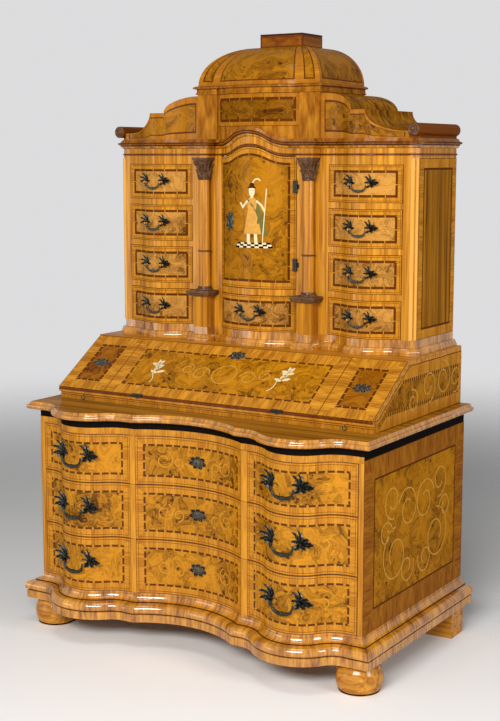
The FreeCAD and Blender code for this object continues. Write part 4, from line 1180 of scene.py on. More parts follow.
class BUREAU_OT_mounts(bpy.types.Operator):
    """Model the handles, pulls, keyhole plates and hinges"""
    bl_idname = "bureau.mounts"
    bl_label = "Model the mounts"

    def execute(self, context):
        brass = FINISH["brass"]
        models = {"left": spray("spray_model_left", LEFT_SPRAY, brass),
                  "right": spray("spray_model_right", RIGHT_SPRAY, brass)}
        plate = keyhole_plate("plate_model", *PLATE_HALF, brass)
        top, drop, radius = CHEST_BAIL
        hollow_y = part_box("chest_sides")[0].y - sizes().corner_in + sizes().hollow_in
        for number in (1, 2, 3):
            pieces = []
            for name, _ in SIDES:
                node = f"chest_bail_{number}_{name}"
                low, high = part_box(node)
                middle = (low + high) / 2
                axis_z = high.z - top
                face = self.chest_face(middle.x, CHEST_POST)
                for end, hand in SIDES:
                    x = middle.x + hand * CHEST_POST
                    place = Matrix.Translation((x, face - 1 * MM, axis_z))
                    pieces.append(copied(models[end], "spray", place))
                    pieces.append(self.post((x, axis_z), face, middle.y - 5.5 * MM, brass))
                self.bail(f"handle_bail_{number}_{name}", middle, axis_z, CHEST_POST * BAIL_SHARE, drop, radius,
                          FINISH["bail"], f"chest bail {number} {name}", node)
            place = Matrix.Translation((0, hollow_y - 1 * MM, axis_z))
            pieces.append(copied(plate, "plate", place))
            mounts = combined(f"drawer_mounts_{number}", pieces)
            settle(mounts, f"chest drawer {number}", "patinated_brass", f"chest_mounts_{number}")
        self.small_pulls(models)
        self.flap_plates(plate)
        self.hinges()
        discard(plate, *models.values())
        return {"FINISHED"}

    def chest_face(self, centre, post):
        """Depth of the chest front at a handle's posts."""
        path = chest_front(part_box("chest_drawer_1")[1].x)
        return depth_at(abs(centre) + post, [(x, y) for x, y in path if x > sizes().crease_x])

    def post(self, place, face, tip, material):
        """Short turned post from a drawer front to the axis of a bail."""
        profile = [(r * POST_RADIUS, z * (face - tip)) for r, z in POST]
        piece = turned("post", profile, (0, 0), material, 18)
        piece.data.transform(Matrix.Translation((place[0], face, place[1])) @ FORWARD)
        weld(piece)
        return piece

    def bail(self, name, middle, axis_z, reach, drop, radius, material, body, node):
        """Hanging bail, thin at its ends and thicker where it is gripped, with a ring at its middle."""
        steps = 36
        line = []
        radii = []
        for k in range(steps + 1):
            turn = pi * k / steps
            x = -copysign(abs(cos(turn)) ** 0.75, cos(turn)) * reach
            line.append((middle.x + x, middle.y, axis_z - drop * sin(turn) ** 0.85))
            ring = 0.45 * radius if abs(k - steps / 2) < 1 else 0.0
            radii.append(radius * (0.7 + 0.75 * sin(turn) ** 2) + ring)
        piece = tube(name, line, radii, material)
        settle(piece, body, "patinated_brass", node)

    def small_pulls(self, models):
        """Pulls of the small drawers: smaller sprays beside the posts, and their bails."""
        brass = FINISH["brass"]
        scale = Matrix.Scale(SMALL_SCALE, 4)
        top, drop, radius = SMALL_BAIL
        names = [(f"{side} {k}", f"{side}_{k}") for side in ("left", "right") for k in (1, 2, 3, 4)]
        pulls = [(f"upper drawer {a}", f"upper bail {a}", f"upper_bail_{b}") for a, b in names]
        pulls.append(("centre drawer", "centre bail", "centre_bail"))
        lobe = upper_lobe()
        bow = door_bow()
        for drawer, body, node in pulls:
            low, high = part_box(node)
            middle = (low + high) / 2
            axis_z = high.z - top
            line = bow if node == "centre_bail" else lobe
            pieces = []
            for end, hand in SIDES:
                x = middle.x + hand * SMALL_POST
                face = depth_at(abs(x) if line is lobe else hand * SMALL_POST, line)
                place = Matrix.Translation((x, face - 1 * MM, axis_z)) @ scale
                pieces.append(copied(models[end], "spray", place))
            settle(combined(f"{node}_mounts", pieces), drawer, "patinated_brass")
            self.bail(f"{node}_grip", middle, axis_z, SMALL_POST * BAIL_SHARE, drop, radius, brass, body, node)

    def hinges(self):
        """Slim leaves and knuckles of the hinges that turn with the flap and with the door."""
        iron = FINISH["iron"]
        size = sizes()
        half, core = HINGE_HALF, HINGE_CORE
        radii = [HINGE_RADIUS] * 4
        runs = [[hand * (core + (half - core) * k / 3) for k in range(4)] for hand in (-1, 1)]
        lift = size.proud + HINGE_PROUD
        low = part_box("fall_flap")[0]
        axis_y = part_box("flap_mounts")[0].y + HINGE_RADIUS
        lean = FLAP_LEAN
        pieces = []
        for x in (-FLAP_HINGE, FLAP_HINGE):
            for run in runs:
                pieces.append(tube("knuckle", [(x + way, axis_y, low.z) for way in run], radii, iron))
            rows = []
            for up in (0.0, 6 * MM):
                y, z = low.y + cos(lean) * up - sin(lean) * lift, low.z + sin(lean) * up + cos(lean) * lift
                rows.append([(x - half, y, z), (x + half, y, z)])
            pieces.append(self.leaf_plate(rows, iron))
        settle(combined("flap_hinges", pieces), "fall flap", "patinated_brass", "flap_mounts")
        bow = door_bow()
        door_low, door_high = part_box("door")
        axis = (size.bow_x + 1 * MM, cabinet_lines()[2] - HINGE_RADIUS - 1.2 * MM)
        pieces = []
        for level in [door_low.z + up for up in DOOR_HINGES]:
            for run in runs:
                pieces.append(tube("knuckle", [(*axis, level + way) for way in run], radii, iron))
            across = np.linspace(door_high.x - 9 * MM, door_high.x, 4)
            rows = [[(x, depth_at(x, bow) - lift, z) for x in across] for z in (level - half, level + half)]
            pieces.append(self.leaf_plate(rows, iron))
        settle(combined("door_hinges", pieces), "door", "patinated_brass", "door_mounts")

    def leaf_plate(self, rows, material):
        """Thin hinge leaf over rows of points."""
        plate = bent_grid("hinge_leaf", np.array(rows))
        plate.data.materials.append(material)
        thicken(plate, 1.2 * MM)
        return plate

    def flap_plates(self, plate):
        """Keyhole plates of the flap and of the door."""
        low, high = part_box("fall_flap")
        lean = FLAP_LEAN
        along = Vector((0, cos(lean), sin(lean)))
        reach = (high.z - low.z) / sin(lean)
        foot = Vector((0, low.y, low.z))
        flatter = Matrix.Scale(0.35, 4, (0, 1, 0))
        for index, (across, share) in enumerate(FLAP_PLATES):
            spot = foot + along * reach * share + Vector((across * high.x, 0, 0))
            spot += Vector((0, -sin(lean), cos(lean))) * 1 * MM
            turn = Matrix.Translation(spot) @ Matrix.Rotation(lean - radians(90), 4, "X") @ flatter
            settle(copied(plate, f"flap_plate_{index}", turn), "fall flap", "patinated_brass")
        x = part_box("door_mounts")[0].x + 19 * MM
        bow = door_bow()
        y = depth_at(x, bow)
        slope = atan2(depth_at(x + 5 * MM, bow) - y, 5 * MM)
        keyhole_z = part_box("door")[0].z + 221 * MM
        turn = Matrix.Translation((x, y - 1 * MM, keyhole_z)) @ Matrix.Rotation(slope, 4, "Z")
        turn = turn @ Matrix.Rotation(radians(90), 4, "Y")
        settle(copied(plate, "door_plate", turn), "door", "patinated_brass")


# Turned profiles as (radius, height) in mm.
COLUMN_BASE = ((0, 0), (27, 0), (27.5, 3), (26, 6), (23.5, 7), (23, 9), (24.5, 10.5), (24, 13), (21, 14),
               (0, 14))
COLUMN_COLLAR = ((19, 118), (22.5, 118.6), (23.4, 121), (22.5, 123.4), (19, 124), (19, 118))
BELL = ((0, 0), (20.5, 0), (21.5, 2), (20, 4), (18.5, 6), (18.5, 30), (21, 48), (25, 60), (26, 63), (0, 63))
BELL_RADIUS = 18.5 * MM
# Foot and reach of a row of leaves in mm, and its turn as a share of a leaf.
LEAF_ROWS = ((5, 30, 0.0), (18, 36, 0.5))
ABACUS = ((-4, -12), (-2, -8), (0, -7), (0, 0))


class BUREAU_OT_columns(bpy.types.Operator):
    """Turn the columns' bases and collars and carve their capitals"""
    bl_idname = "bureau.columns"
    bl_label = "Carve the columns"

    def execute(self, context):
        low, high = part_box("column_shafts")
        centre = column_spot()
        foot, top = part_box("column_capitals")
        dark = FINISH["carved"]
        pieces = [turned("base", placed(COLUMN_BASE, 0.0, foot.z), centre, dark),
                  turned("collar", placed(COLUMN_COLLAR, 0.0, low.z), centre, dark)]
        pieces += self.capital(centre, high.z, top.z, dark)
        settle_pair(combined("column_trim_right", pieces), "carved_dark", "column_capitals")
        return {"FINISHED"}

    def capital(self, centre, foot, top, material):
        """Bell with two rows of leaves, corner scrolls and a moulded square on top."""
        pieces = [turned("bell", placed(BELL, 0.0, foot), centre, material, 24)]
        stand = Matrix.Translation((BELL_RADIUS, 0, 0)) @ Matrix.Rotation(radians(-90), 4, "Y")
        stand = stand @ Matrix.Rotation(pi, 4, "X")
        for rise, reach, shift in LEAF_ROWS:
            for index in range(8):
                turn = Matrix.Rotation(2 * pi * (index + shift) / 8, 4, "Z")
                spot = Matrix.Translation((*centre, foot + rise * MM)) @ turn
                pieces.append(leaf("acanthus", reach * MM, 7.4 * MM, 0.0, 2 * MM, spot @ stand, material, 0.32))
        for index in range(4):
            line = [(u, 0, v) for u, v in scroll((0, 0), 8 * MM, 1.5 * MM, 0.0, 1.8, 24)]
            volute = tube("volute", line, [2.6 * MM] * len(line), material, 8)
            turn = Matrix.Rotation(pi / 4 + pi / 2 * index, 4, "Z")
            spot = Matrix.Translation((*centre, foot + 56 * MM)) @ turn
            volute.data.transform(spot @ Matrix.Translation((29 * MM, 0, 0)))
            pieces.append(volute)
        edge = 30 * MM
        square = [(-edge, edge), (-edge, -edge), (edge, -edge), (edge, edge), (-edge, edge)]
        path = [(centre[0] + x, centre[1] + y) for x, y in square]
        points = along_path(path, placed(ABACUS, 0.0, top))
        slab = bent_grid("abacus", points)
        columns = len(path)
        cap(slab, range((len(ABACUS) - 1) * columns, len(ABACUS) * columns))
        weld(slab)
        slab.data.materials.append(material)
        return pieces + [slab]


SHOULDER_FOOT = 22 * MM
SHOULDER_INSET = 27 * MM
SHOULDER_LIP = 16 * MM
SHOULDER_GAP = 17 * MM
UPPER_RUN = 108 * MM
LEVEL_RUN = 54 * MM
LOWER_RISE = 67 * MM
UPPER_RISE = 55 * MM
ATTIC_EDGE = 13 * MM
ATTIC_CAP = 28 * MM
ATTIC_OUT = 10 * MM
ROLL_RADIUS = 20 * MM
ROLL_END = ((0, 9), (4, 8.6), (6.5, 6.5), (7, 4.5), (9.5, 6.2), (12.5, 4.6), (13, 2.5), (16, 3.2), (19, 1),
            (19.5, 0), (0, 0))
ATTIC_BAND = ((1, 0), (5, 1), (5.5, 5), (2, 6), (2, 17))
BLOCK_EDGE = ((-1, -7), (1.5, -5), (1.5, -2), (-2, 0))


class BUREAU_OT_pediment(bpy.types.Operator):
    """Veneer the shoulders, attic, dome and top block"""
    bl_idname = "bureau.pediment"
    bl_label = "Veneer the pediment"

    def execute(self, context):
        self.shoulders()
        self.attic()
        self.dome()
        self.block()
        return {"FINISHED"}

    def silhouette(self):
        """Outline of the right shoulder from its outer end up to the attic, as (x, z)."""
        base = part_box("cornice")[1].z - sizes().arch_rise
        low = base + SHOULDER_FOOT
        step = low + LOWER_RISE
        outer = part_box("cabinet_sides")[1].x - SHOULDER_INSET
        lip = outer - SHOULDER_LIP
        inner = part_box("attic")[1].x - ATTIC_EDGE + SHOULDER_GAP
        start = inner + UPPER_RUN
        end = start + LEVEL_RUN
        turns = [k / 14 * pi / 2 for k in range(15)]
        line = [(outer, low)]
        line += [(lip - (lip - end) * sin(t), step - LOWER_RISE * cos(t)) for t in turns]
        line += [(end + (start - end) * k / 8, step) for k in range(1, 8)]
        line += [(start - (start - inner) * (1 - cos(t)), step + UPPER_RISE * sin(t)) for t in turns]
        line += [(inner - SHOULDER_GAP, step + UPPER_RISE)]
        return base, joined(line)

    def shoulders(self):
        """Veneer of the shoulders' faces and tops, and the turned ends of the rolls."""
        size = sizes()
        base, line = self.silhouette()
        lobe = upper_lobe()
        depths = [depth_at(x, lobe) for x, z in line]
        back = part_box("shoulders")[1].y
        shares = [k / 6 for k in range(7)]
        ordered = list(zip(line, depths))[::-1]
        face = np.array([[(x, y - size.proud, base + (z - base) * s) for (x, z), y in ordered] for s in shares])
        rise = offsets(line) * size.proud
        crown = np.array([[(x + up[0], back + (y - back) * s, z + up[1])
                           for (x, z), y, up in zip(line, depths, rise)] for s in shares])
        for name, side in SIDES:
            for part, points, finish in (("face", face, "shoulder"), ("crown", crown, "crown")):
                laid = points if side > 0 else points[:, ::-1] * np.array((-1, 1, 1))
                veneer(f"shoulder_{part}_{name}", laid, ROOT, "pediment_veneer", finish)
        frame["nodes"]["shoulders"].data.materials[0] = FINISH["roll"]
        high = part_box("shoulders")[1]
        centre = (high.x - ROLL_RADIUS, base + 9 * MM + ROLL_RADIUS - 2 * MM)
        front = cabinet_lines()[2] - 12 * MM
        button = turned("roll_end_right", placed(ROLL_END), (0, 0), FINISH["carved"], 28)
        button.data.transform(Matrix.Translation((centre[0], front, centre[1])) @ FORWARD)
        settle_pair(button, "pediment_veneer")

    def attic_path(self):
        """Path round the attic: sides, pilasters, and the bowed panel stepped back between them."""
        size = sizes()
        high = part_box("attic")[1]
        half = high.x - ATTIC_EDGE
        front_y = cabinet_lines()[2] - ATTIC_OUT
        step_y = front_y + size.attic_step
        right = [(size.attic_bow_x, step_y), (size.attic_bow_x, front_y), (half, front_y), (half, high.y)]
        bow = bowed(size.attic_bow_x, step_y, front_y - size.attic_bow_out)
        return joined(mirrored(right), bow, right)

    def attic(self):
        """Attic with its bowed panel, pilasters, band and moulded edge."""
        size = sizes()
        path = self.attic_path()
        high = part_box("attic")[1].z
        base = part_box("cornice")[1].z - size.arch_rise
        top = high - ATTIC_CAP
        board("attic_body", path, [(0, base), (0, top)], "pilaster", "pediment_veneer", "attic")
        bow = [index for index, (x, y) in enumerate(path) if abs(x) < size.attic_bow_x + 1e-6]
        inner = path[bow[0] + 1:bow[-1]]
        panel = along_path(inner, [(size.proud, base + size.arch_rise + 2 * MM), (size.proud, top)])
        veneer("attic_panel", panel, ROOT, "pediment_veneer", "attic")
        half = path[-1][0]
        front_y = path[-2][1]
        for name, side in SIDES:
            ends = sorted((side * (size.attic_bow_x + 2 * MM), side * half))
            y = front_y - size.proud
            points = np.array([[(x, y, z) for x in ends] for z in (base, top)])
            veneer(f"attic_pilaster_{name}", points, ROOT, "pediment_veneer", "pilaster")
        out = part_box("attic")[1].x - half
        band = placed(ATTIC_BAND, 0.0, top)
        moulding("attic_band", path, band, 20, "pilaster", "pediment_veneer")
        profile = band[-1:] + round_profile(*placed(((-4, 19), (-3, 25)), out, top), 3 * MM) + [(4 * MM, high)]
        board("attic_edge", path, profile, "cornice", "pediment_veneer")

    def dome(self):
        """Veneer of the dome, mitred at its corners and bowed in front."""
        size = sizes()
        low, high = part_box("dome")
        block_low, block_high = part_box("finial")
        run = high.x - block_high.x
        edge = block_high.x - 12 * MM
        bulge = size.attic_bow_out - 2 * MM
        rows = []
        for step in range(15):
            angle = step / 14 * pi / 2
            outer = block_high.x + run * cos(angle)
            inner = edge + (size.attic_bow_x - edge) * cos(angle)
            front = block_low.y - run * cos(angle)
            z = low.z + (high.z - low.z) * sin(angle)
            swell = front - max(1 * MM, bulge * cos(angle))
            arc = bowed(inner, front, swell, 16)
            right = [(outer, front + (high.y - front) * k / 3) for k in range(4)]
            out = size.proud * np.array((cos(angle), sin(angle)))
            line = mirrored(right) + arc + right
            rows.append([(x + copysign(out[0], x) * (abs(x) >= outer - 1e-6), y - out[0], z + out[1])
                         for x, y in line])
        mitres = [0, 3, 4, 20, 21, 24]
        kinds = ["dome"] * (len(mitres) - 1)
        veneer("dome_veneer", np.array(rows), ROOT, "pediment_veneer", *kinds, cuts=mitres)

    def block(self):
        """Veneer and edge of the block on top."""
        size = sizes()
        low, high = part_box("finial")
        path = [(low.x, high.y), (low.x, low.y), (high.x, low.y), (high.x, high.y)]
        top = high.z + BLOCK_EDGE[0][1] * MM
        points = along_path(path, [(size.proud, low.z), (size.proud, top)])
        veneer("block_veneer", points, ROOT, "finial_veneer", "block", "block", "block", cuts=[0, 1, 2, 3])
        edge = placed(BLOCK_EDGE, 0.0, high.z)
        moulding("block_edge", path, edge, 9, "inlay", "finial_veneer")


CORNER_BEADS = ((0.34, 7.5 * MM), (0.80, 5 * MM))


class BUREAU_OT_corners(bpy.types.Operator):
    """Add the beads of the canted corners"""
    bl_idname = "bureau.corners"
    bl_label = "Bead the corners"

    def execute(self, context):
        half, _, front_y, cant = cabinet_lines()
        low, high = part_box("cabinet_sides")
        along = Vector((cant, cant)).normalized()
        out = Vector((along.y, -along.x))
        start = Vector((half - cant, front_y))
        pieces = []
        for share, radius in CORNER_BEADS:
            spot = start + along * cant * sqrt(2) * share
            angles = [atan2(out.y, out.x) + pi * (k / 12 - 0.5) for k in range(13)]
            points = np.array([[(spot.x + radius * cos(a), spot.y + radius * sin(a), z) for a in angles]
                               for z in (low.z, high.z)])
            bead = sheet("bead", points, FINISH["bead"])
            smooth(bead, 60)
            pieces.append(bead)
        settle_pair(combined("corner_bead_right", pieces), "upper_front")
        return {"FINISHED"}


# Spirals: centre across and up, outer and inner radius in mm, start and length in turns.
SIDE_SCROLLS = ((150, -70, 92, 34, 0.25, -1.35), (172, 108, 58, 20, 0.72, 1.2), (62, 62, 74, 26, 0.05, 1.3),
                (66, -128, 52, 18, 0.45, 1.2), (215, 10, 44, 16, 0.5, -1.15))
DESK_SCROLLS = ((-70, -40, 40, 14, 0.3, -1.2), (45, -6, 56, 18, 0.75, 1.25), (158, 4, 60, 20, 0.25, -1.3),
                (255, -8, 48, 16, 0.7, 1.2))
# The figure's flat parts as (height, left, right), and its lines as (across, height), in mm.
ROBE = ((28, -31, 35), (50, -27, 30), (75, -22, 24), (95, -17, 18), (110, -15, 15), (130, -19, 19),
        (143, -15, 15), (150, -6, 6))
CAPE = ((22, 34, 56), (60, 27, 48), (100, 18, 34), (140, 14, 20))
HEAD = ((147, -4.5, 4.5), (154, -4.5, 4.5), (155.5, -7, 7), (159, -9.5, 9.5), (166, -11, 11), (174, -11, 11),
        (180, -9.5, 9.5))
HAT = ((179, -16, 16), (182, -15, 15), (184, -10, 10), (192, -9, 9), (197, -5, 5))
LEGS = (((0, -20, -8), (28, -19, -7)), ((0, 9, 21), (28, 8, 19)))
FEATURES = (((170, -5.5, -2.5), (172, -5.5, -2.5)), ((170, 2.5, 5.5), (172, 2.5, 5.5)),
            ((162, -3, 3), (163.2, -3, 3)))
LIMBS = (((-17, 138), (-36, 116), (-46, 132)), ((17, 138), (36, 122), (45, 104)))
SASH = ((-15, 141), (0, 124), (16, 104), (24, 84), (22, 62))
STAFF = ((52, 178), (46, 104), (38, 2))
PLUME = ((2, 196), (12, 208), (24, 210), (31, 203))
INLAY = 0.3 * MM
INLAY_LIFT = 1.25 * MM
FIGURE_GROUND = 153 * MM
FIGURE_CENTRE = 10 * MM
PETAL_REACH = 30 * MM
PETAL_WIDTH = 12 * MM
# Foot and run of a stem: across, up, run, rise, in mm.
SPRIGS = ((-262, 66, -10, 86), (190, 82, 38, 92))
# Share of the stem, offset in mm and direction in degrees.
PETALS = ((0.55, 8, 160), (0.6, 6, 20), (0.72, -9, 40), (0.8, 8, 140), (0.95, -8, 10), (1.0, -4, 60),
          (1.0, 2, 110), (1.0, 0, 165))
FLAP_SCROLLS = ((0, 138, 44, 44, 0.0, 1.0), (92, 132, 34, 12, 0.5, -1.2), (152, 150, 26, 10, 0.2, 1.2))
FRONT_SCROLLS = ((118, 2, 30, 10, 0.3, 1.2), (72, -6, 20, 8, 0.75, -1.1), (500, 4, 27, 9, 0.3, 1.2))


class BUREAU_OT_inlays(bpy.types.Operator):
    """Lay the strapwork of the sides, the sprigs of the flap and the figure of the door"""
    bl_idname = "bureau.inlays"
    bl_label = "Lay the inlays"

    def execute(self, context):
        lift = INLAY_LIFT
        low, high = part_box("chest_sides")
        middle = ((low.y + high.y) / 2, (low.z + high.z) / 2)
        self.strapwork("chest_strapwork", SIDE_SCROLLS, middle, (-1, 1), high.x + lift)
        low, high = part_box("desk_carcase")
        middle = ((low.y + high.y) / 2 + 20 * MM, (low.z + high.z) / 2 + 2 * MM)
        self.strapwork("desk_strapwork", DESK_SCROLLS, middle, (1,), high.x + lift)
        self.front_scrolls(lift)
        self.sprigs(lift)
        self.figure(lift)
        return {"FINISHED"}

    def strapwork(self, name, scrolls, middle, hands, x):
        """Pale scrolls on a side board, and their mirror image on the other side."""
        bands = scroll_bands(scrolls, middle, hands, 4.5 * MM, lambda u, v: (x, u, v), FINISH["maple"])
        model = combined(f"{name}_right", bands)
        thicken(model, INLAY)
        settle_pair(model, "walnut_side")

    def front_scrolls(self, lift):
        """Pale scrolls beside the keyhole plates and handles of the chest's drawers."""
        path = chest_front(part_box("chest_drawer_1")[1].x)

        def place(across, up):
            return (across, depth_at(across, path) - lift, up)

        for number in (1, 2, 3):
            low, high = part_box(f"chest_drawer_{number}")
            middle = (0, (low.z + high.z) / 2)
            bands = scroll_bands(FRONT_SCROLLS, middle, (1, -1), 3.2 * MM, place, FINISH["vein"])
            scrolls = combined(f"drawer_scrolls_{number}", bands)
            thicken(scrolls, INLAY)
            settle(scrolls, f"chest drawer {number}", "walnut_front")

    def sprigs(self, lift):
        """Flowering sprigs of bone on the fall flap, and pale scrolls between them."""
        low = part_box("fall_flap")[0]
        foot = low + Vector((0, -sin(FLAP_LEAN), cos(FLAP_LEAN))) * lift
        ivory = FINISH["ivory"]

        def place(across, up):
            return (across, foot.y + cos(FLAP_LEAN) * up, foot.z + sin(FLAP_LEAN) * up)

        pieces = []
        for x, start, run, rise in SPRIGS:
            stem = [((x + run * k / 8 + 6 * sin(k)) * MM, (start + rise * k / 8) * MM) for k in range(9)]
            pieces.append(ribbon("stem", stem, 3.0 * MM, place, ivory))
            for share, off, angle in PETALS:
                at = ((x + run * share + off) * MM, (start + rise * share) * MM)
                pieces.append(self.petal(at, radians(angle), place, ivory))
        pieces += scroll_bands(FLAP_SCROLLS, (0, 0), (1, -1), 3.5 * MM, place, FINISH["maple"])
        sprigs = combined("flap_sprigs", pieces)
        thicken(sprigs, INLAY)
        settle(sprigs, "fall flap", "walnut_front")

    def petal(self, at, turn, place, material):
        """Pointed petal from a place in some direction."""
        steps = 6
        tip = (at[0] + cos(turn) * PETAL_REACH, at[1] + sin(turn) * PETAL_REACH)
        shares = [k / steps for k in range(steps + 1)]
        line = np.array([(at[0] + (tip[0] - at[0]) * s, at[1] + (tip[1] - at[1]) * s) for s in shares])
        widths = np.array([PETAL_WIDTH * sin(pi * (0.08 + 0.84 * s)) for s in shares])[:, None]
        edges = [line + hand * offsets(line) * widths / 2 for hand in (1, -1)]
        petal = bent_grid("petal", np.array([[place(*point) for point in edge] for edge in edges]))
        petal.data.materials.append(material)
        return petal

    def figure(self, lift):
        """Robed figure with a staff on a chequered floor, inlaid in the door."""
        bow = door_bow()
        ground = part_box("door")[0].z + FIGURE_GROUND

        def place(raised, across, up):
            x = FIGURE_CENTRE + across * MM
            return (x, depth_at(x, bow) - lift - raised * MM, ground + up * MM)

        def cut(rows, finish, raised=0.0, columns=4):
            return patch("inlay", rows, partial(place, raised), columns, FINISH[finish])

        def strip(line, width, finish, raised):
            return ribbon("inlay", line, width, partial(place, raised), FINISH[finish])

        pieces = [cut(CAPE, "moss"), cut(ROBE, "robe", 0.1), cut(HEAD, "ivory", 0.15), cut(HAT, "inlay", 0.25),
                  strip(SASH, 6, "moss", 0.25), strip(STAFF, 3, "ivory", 0.25), strip(PLUME, 4, "ivory", 0.25)]
        pieces += [cut(leg, "ivory") for leg in LEGS]
        pieces += [strip(limb, 6.5, "ivory", 0.3) for limb in LIMBS]
        pieces += [cut(mark, "inlay", 0.25, 1) for mark in FEATURES]
        columns = 9
        for row in range(3):
            skew = 4 * (2 - row)
            for column in range(columns):
                ends = [-58 - skew + (122 + 2 * skew) * k / columns for k in (column, column + 1)]
                tile = ((row * 6 - 18, *ends), (row * 6 - 12, *ends))
                pieces.append(cut(tile, "ivory" if (row + column) % 2 else "ebony", 0.0, 1))
        figure = combined("door_figure", pieces)
        thicken(figure, 0.2 * MM)
        settle(figure, "door", "upper_front")


FOOT_BLACK_DISC = ((0, 0), (62, 0), (64.8, 2), (64.8, 6), (62, 7.5), (0, 7.5))
CAP_FOOT = ((-2, 0), (0.5, 3), (0.8, 7))
CAP_ROUND = ((1, 8), (1, 15))
FOOT_INSET = (26 * MM, 34 * MM)
RAIL_COVER = 11 * MM
LOPER_GAP = 1 * MM


class BUREAU_OT_details(bpy.types.Operator):
    """Add black discs under the feet, the pedestals' caps and the veneer of the rails"""
    bl_idname = "bureau.details"
    bl_label = "Add the details"

    def execute(self, context):
        size = sizes()
        low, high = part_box("chest_sides")
        centre = (high.x - FOOT_INSET[0], low.y + FOOT_INSET[1])
        # A black disc, 7.5 mm tall, at the bottom of each front foot.
        settle_pair(turned("foot_sole_right", placed(FOOT_BLACK_DISC), centre, FINISH["ebony"]), "walnut_foot")
        self.pedestal_caps()
        drawer_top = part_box("chest_drawer_1")[1].z
        band_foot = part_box("ebonised_band")[0].z
        rail = [(size.proud, drawer_top + 2 * MM), (size.proud, band_foot + RAIL_COVER)]
        points = along_path(chest_front(high.x), rail)
        veneer("top_rail_veneer", points, ROOT, "walnut_front", "banding")
        self.desk_front()
        return {"FINISHED"}

    def desk_front(self):
        """Bands of veneer on the desk's rail and strip, with a thin line of painted shade on the rail, parted
        where the lopers pull out.
        """
        size = sizes()
        low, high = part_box("desk_carcase")
        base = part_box("chest_top")[1].z
        strip_y = low.y - size.proud
        rail_y = strip_y + RAIL_SETBACK
        # Painted shade: the thin dark plum band from 13 to 14.5 mm on the rail is a shadow line.
        bands = ((rail_y, 0.5, 13, "rail"), (rail_y, 13, 14.5, "inlay"), (rail_y, 14.5, 22.5, "banding"),
                 (strip_y, 23.5, 30, "banding"), (strip_y, 30, 38.2, "dark_moulding"))
        left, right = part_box("loper_left"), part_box("loper_right")
        runs = [("desk_front_left", low.x, left[0].x - LOPER_GAP, ROOT),
                ("loper_front_left", left[0].x, left[1].x, "loper left"),
                ("desk_front_middle", left[1].x + LOPER_GAP, right[0].x - LOPER_GAP, ROOT),
                ("loper_front_right", right[0].x, right[1].x, "loper right"),
                ("desk_front_right", right[1].x + LOPER_GAP, high.x, ROOT)]
        for name, start, end, body in runs:
            pieces = []
            for y, foot, top, finish in bands:
                points = np.array([[(start, y, z), (end, y, z)] for z in (base + foot * MM, base + top * MM)])
                pieces.append(veneer("band", points, body, "walnut_side", finish))
            settle(combined(name, pieces), body, "walnut_side")

    def pedestal_caps(self):
        """Dark moulded caps on the pedestals of the columns."""
        low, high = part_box("pedestals")
        column_x = column_spot()[0]
        half = high.x - column_x
        front_y = cabinet_lines()[2]
        cap_z = high.z - 17 * MM
        left, right = column_x - half, column_x + half
        path = [(left, front_y), (left, low.y), (right, low.y), (right, front_y)]
        profile = placed(CAP_FOOT, 0.0, cap_z) + round_profile(*placed(CAP_ROUND, 0.0, cap_z), 3 * MM)
        profile += [(0.8 * MM, high.z + 0.8 * MM)]
        points = along_path(path, profile)
        piece = sheet("pedestal_cap_right", points, FINISH["carved"])
        corners = len(path)
        cap(piece, range((len(profile) - 1) * corners, len(profile) * corners))
        weld(piece)
        smooth(piece)
        settle_pair(piece, "carved_dark")


FLOOR_FADE = (2.2, 6.0)
FLOOR_RINGS = (6.2, 3.0, 0.0)
ROOM_LIGHT = (0.045, 0.046, 0.05, 1)
ROOM_SEEN = (0.72, 0.72, 0.73, 1)
CAMERA_PLACE = (2.43445, -3.81274, 1.6028)
CAMERA_DOWN = 8.456
CAMERA_TURN = 32.14
CAMERA_LENS = 68.54
# Name of a lamp, its place, the point it is turned to, its width, height and power.
LAMPS = (("key_light", (1.5, -4.8, 2.9), (0, 0, 0.8), 3.0, 1.1, 300),
         ("fill_light", (4.6, -1.0, 2.0), (0, 0, 0.9), 1.4, 1.4, 86),
         ("left_light", (-3.2, -4.0, 1.1), (0, 0, 0.8), 1.8, 1.6, 22),
         ("top_light", (0.4, -1.4, 4.8), (0, 0.1, 1.2), 1.6, 1.6, 40))


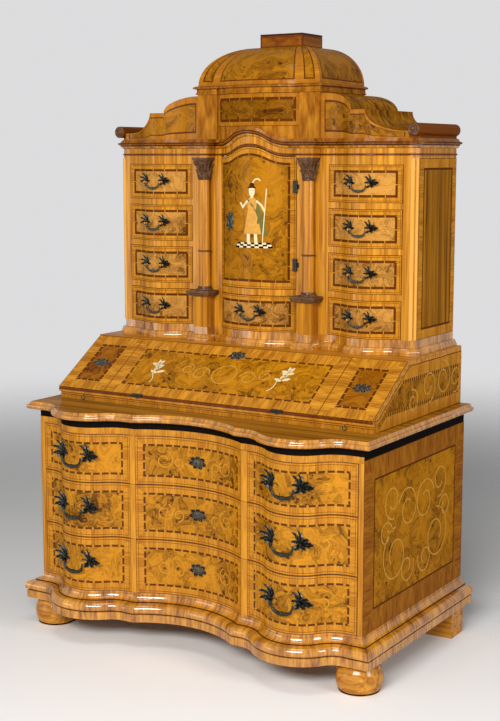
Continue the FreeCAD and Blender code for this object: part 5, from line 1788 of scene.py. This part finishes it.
class BUREAU_OT_stage(bpy.types.Operator):
    """Set the floor, the lamps and the camera"""
    bl_idname = "bureau.stage"
    bl_label = "Set the stage"

    def execute(self, context):
        material, tree, shader = blank("Pale studio paper")
        shader.inputs["Base Color"].default_value = tone("floor")
        shader.inputs["Roughness"].default_value = 0.7
        reach = add(tree, "ShaderNodeVectorMath", {0: object_place(tree)}, operation="LENGTH")
        fade = remap(tree, reach.outputs["Value"], *FLOOR_FADE, interpolation_type="SMOOTHSTEP")
        clear = add(tree, "ShaderNodeBsdfTransparent").outputs[0]
        edge = add(tree, "ShaderNodeMixShader", {0: fade, 1: shader.outputs[0], 2: clear})
        tree.links.new(edge.outputs[0], tree.nodes["Material Output"].inputs["Surface"])
        turns = [2 * pi * k / 64 for k in range(65)]
        points = np.array([[(r * cos(t), r * sin(t), 0.0) for t in turns] for r in FLOOR_RINGS])
        floor = bent_grid("studio_floor", points)
        weld(floor)
        floor.data.materials.append(material)
        world = bpy.data.worlds.new("Studio")
        context.scene.world = world
        world.use_nodes = True
        tree = world.node_tree
        path = add(tree, "ShaderNodeLightPath").outputs
        seen = maths(tree, "ADD", path["Is Camera Ray"], path["Is Glossy Ray"])
        seen = maths(tree, "ADD", seen, path["Is Transmission Ray"], use_clamp=True)
        shade = blend(tree, seen, ROOM_LIGHT, ROOM_SEEN)
        tree.links.new(shade, tree.nodes["Background"].inputs["Color"])
        tree.nodes["Background"].inputs["Strength"].default_value = 1.0
        for lamp in LAMPS:
            self.lamp(*lamp)
        camera = bpy.data.objects.new("photo_camera", bpy.data.cameras.new("photo_camera"))
        context.scene.collection.objects.link(camera)
        camera.location = CAMERA_PLACE
        camera.rotation_euler = (radians(90 - CAMERA_DOWN), 0, radians(CAMERA_TURN))
        camera.data.lens = CAMERA_LENS
        camera.data.sensor_width = 36
        camera.data.clip_end = 200
        context.scene.camera = camera
        context.scene.view_settings.view_transform = "Standard"
        return {"FINISHED"}

    def lamp(self, name, place, aim, width, height, power):
        """Soft box at a place, turned towards a point."""
        lamp = bpy.data.objects.new(name, bpy.data.lights.new(name, "AREA"))
        bpy.context.scene.collection.objects.link(lamp)
        lamp.data.shape = "RECTANGLE"
        lamp.data.size = width
        lamp.data.size_y = height
        lamp.data.energy = power
        lamp.location = place
        lamp.rotation_euler = (Vector(aim) - Vector(place)).to_track_quat("-Z", "Y").to_euler()


STEPS = (BUREAU_OT_solids, BUREAU_OT_chest, BUREAU_OT_mouldings, BUREAU_OT_desk, BUREAU_OT_upper,
         BUREAU_OT_columns, BUREAU_OT_corners, BUREAU_OT_pediment, BUREAU_OT_mounts, BUREAU_OT_inlays,
         BUREAU_OT_details, BUREAU_OT_stage)


class BUREAU_PT_panel(bpy.types.Panel):
    """Sidebar list of the cabinet's steps"""
    bl_idname = "BUREAU_PT_panel"
    bl_label = "Bureau Cabinet"
    bl_space_type = "VIEW_3D"
    bl_region_type = "UI"
    bl_category = "Bureau"

    def draw(self, context):
        for step in STEPS:
            self.layout.operator(step.bl_idname)
        for group in (context.scene.bureau_sizes, context.scene.bureau_colours):
            for name in group.__annotations__:
                self.layout.prop(group, name)


CLASSES = (BureauSizes, BureauColours, *STEPS, BUREAU_PT_panel)


def register():
    """Register the classes and hang the settings on the scene."""
    for cls in CLASSES:
        bpy.utils.register_class(cls)
    bpy.types.Scene.bureau_sizes = PointerProperty(type=BureauSizes)
    bpy.types.Scene.bureau_colours = PointerProperty(type=BureauColours)


def unregister():
    """Take the settings and classes away again."""
    del bpy.types.Scene.bureau_colours
    del bpy.types.Scene.bureau_sizes
    for cls in reversed(CLASSES):
        bpy.utils.unregister_class(cls)


def main():
    """Build the cabinet's looks step by step."""
    register()
    for step in STEPS:
        group, action = step.bl_idname.split(".")
        getattr(getattr(bpy.ops, group), action)()


if __name__ == "__main__":
    main()
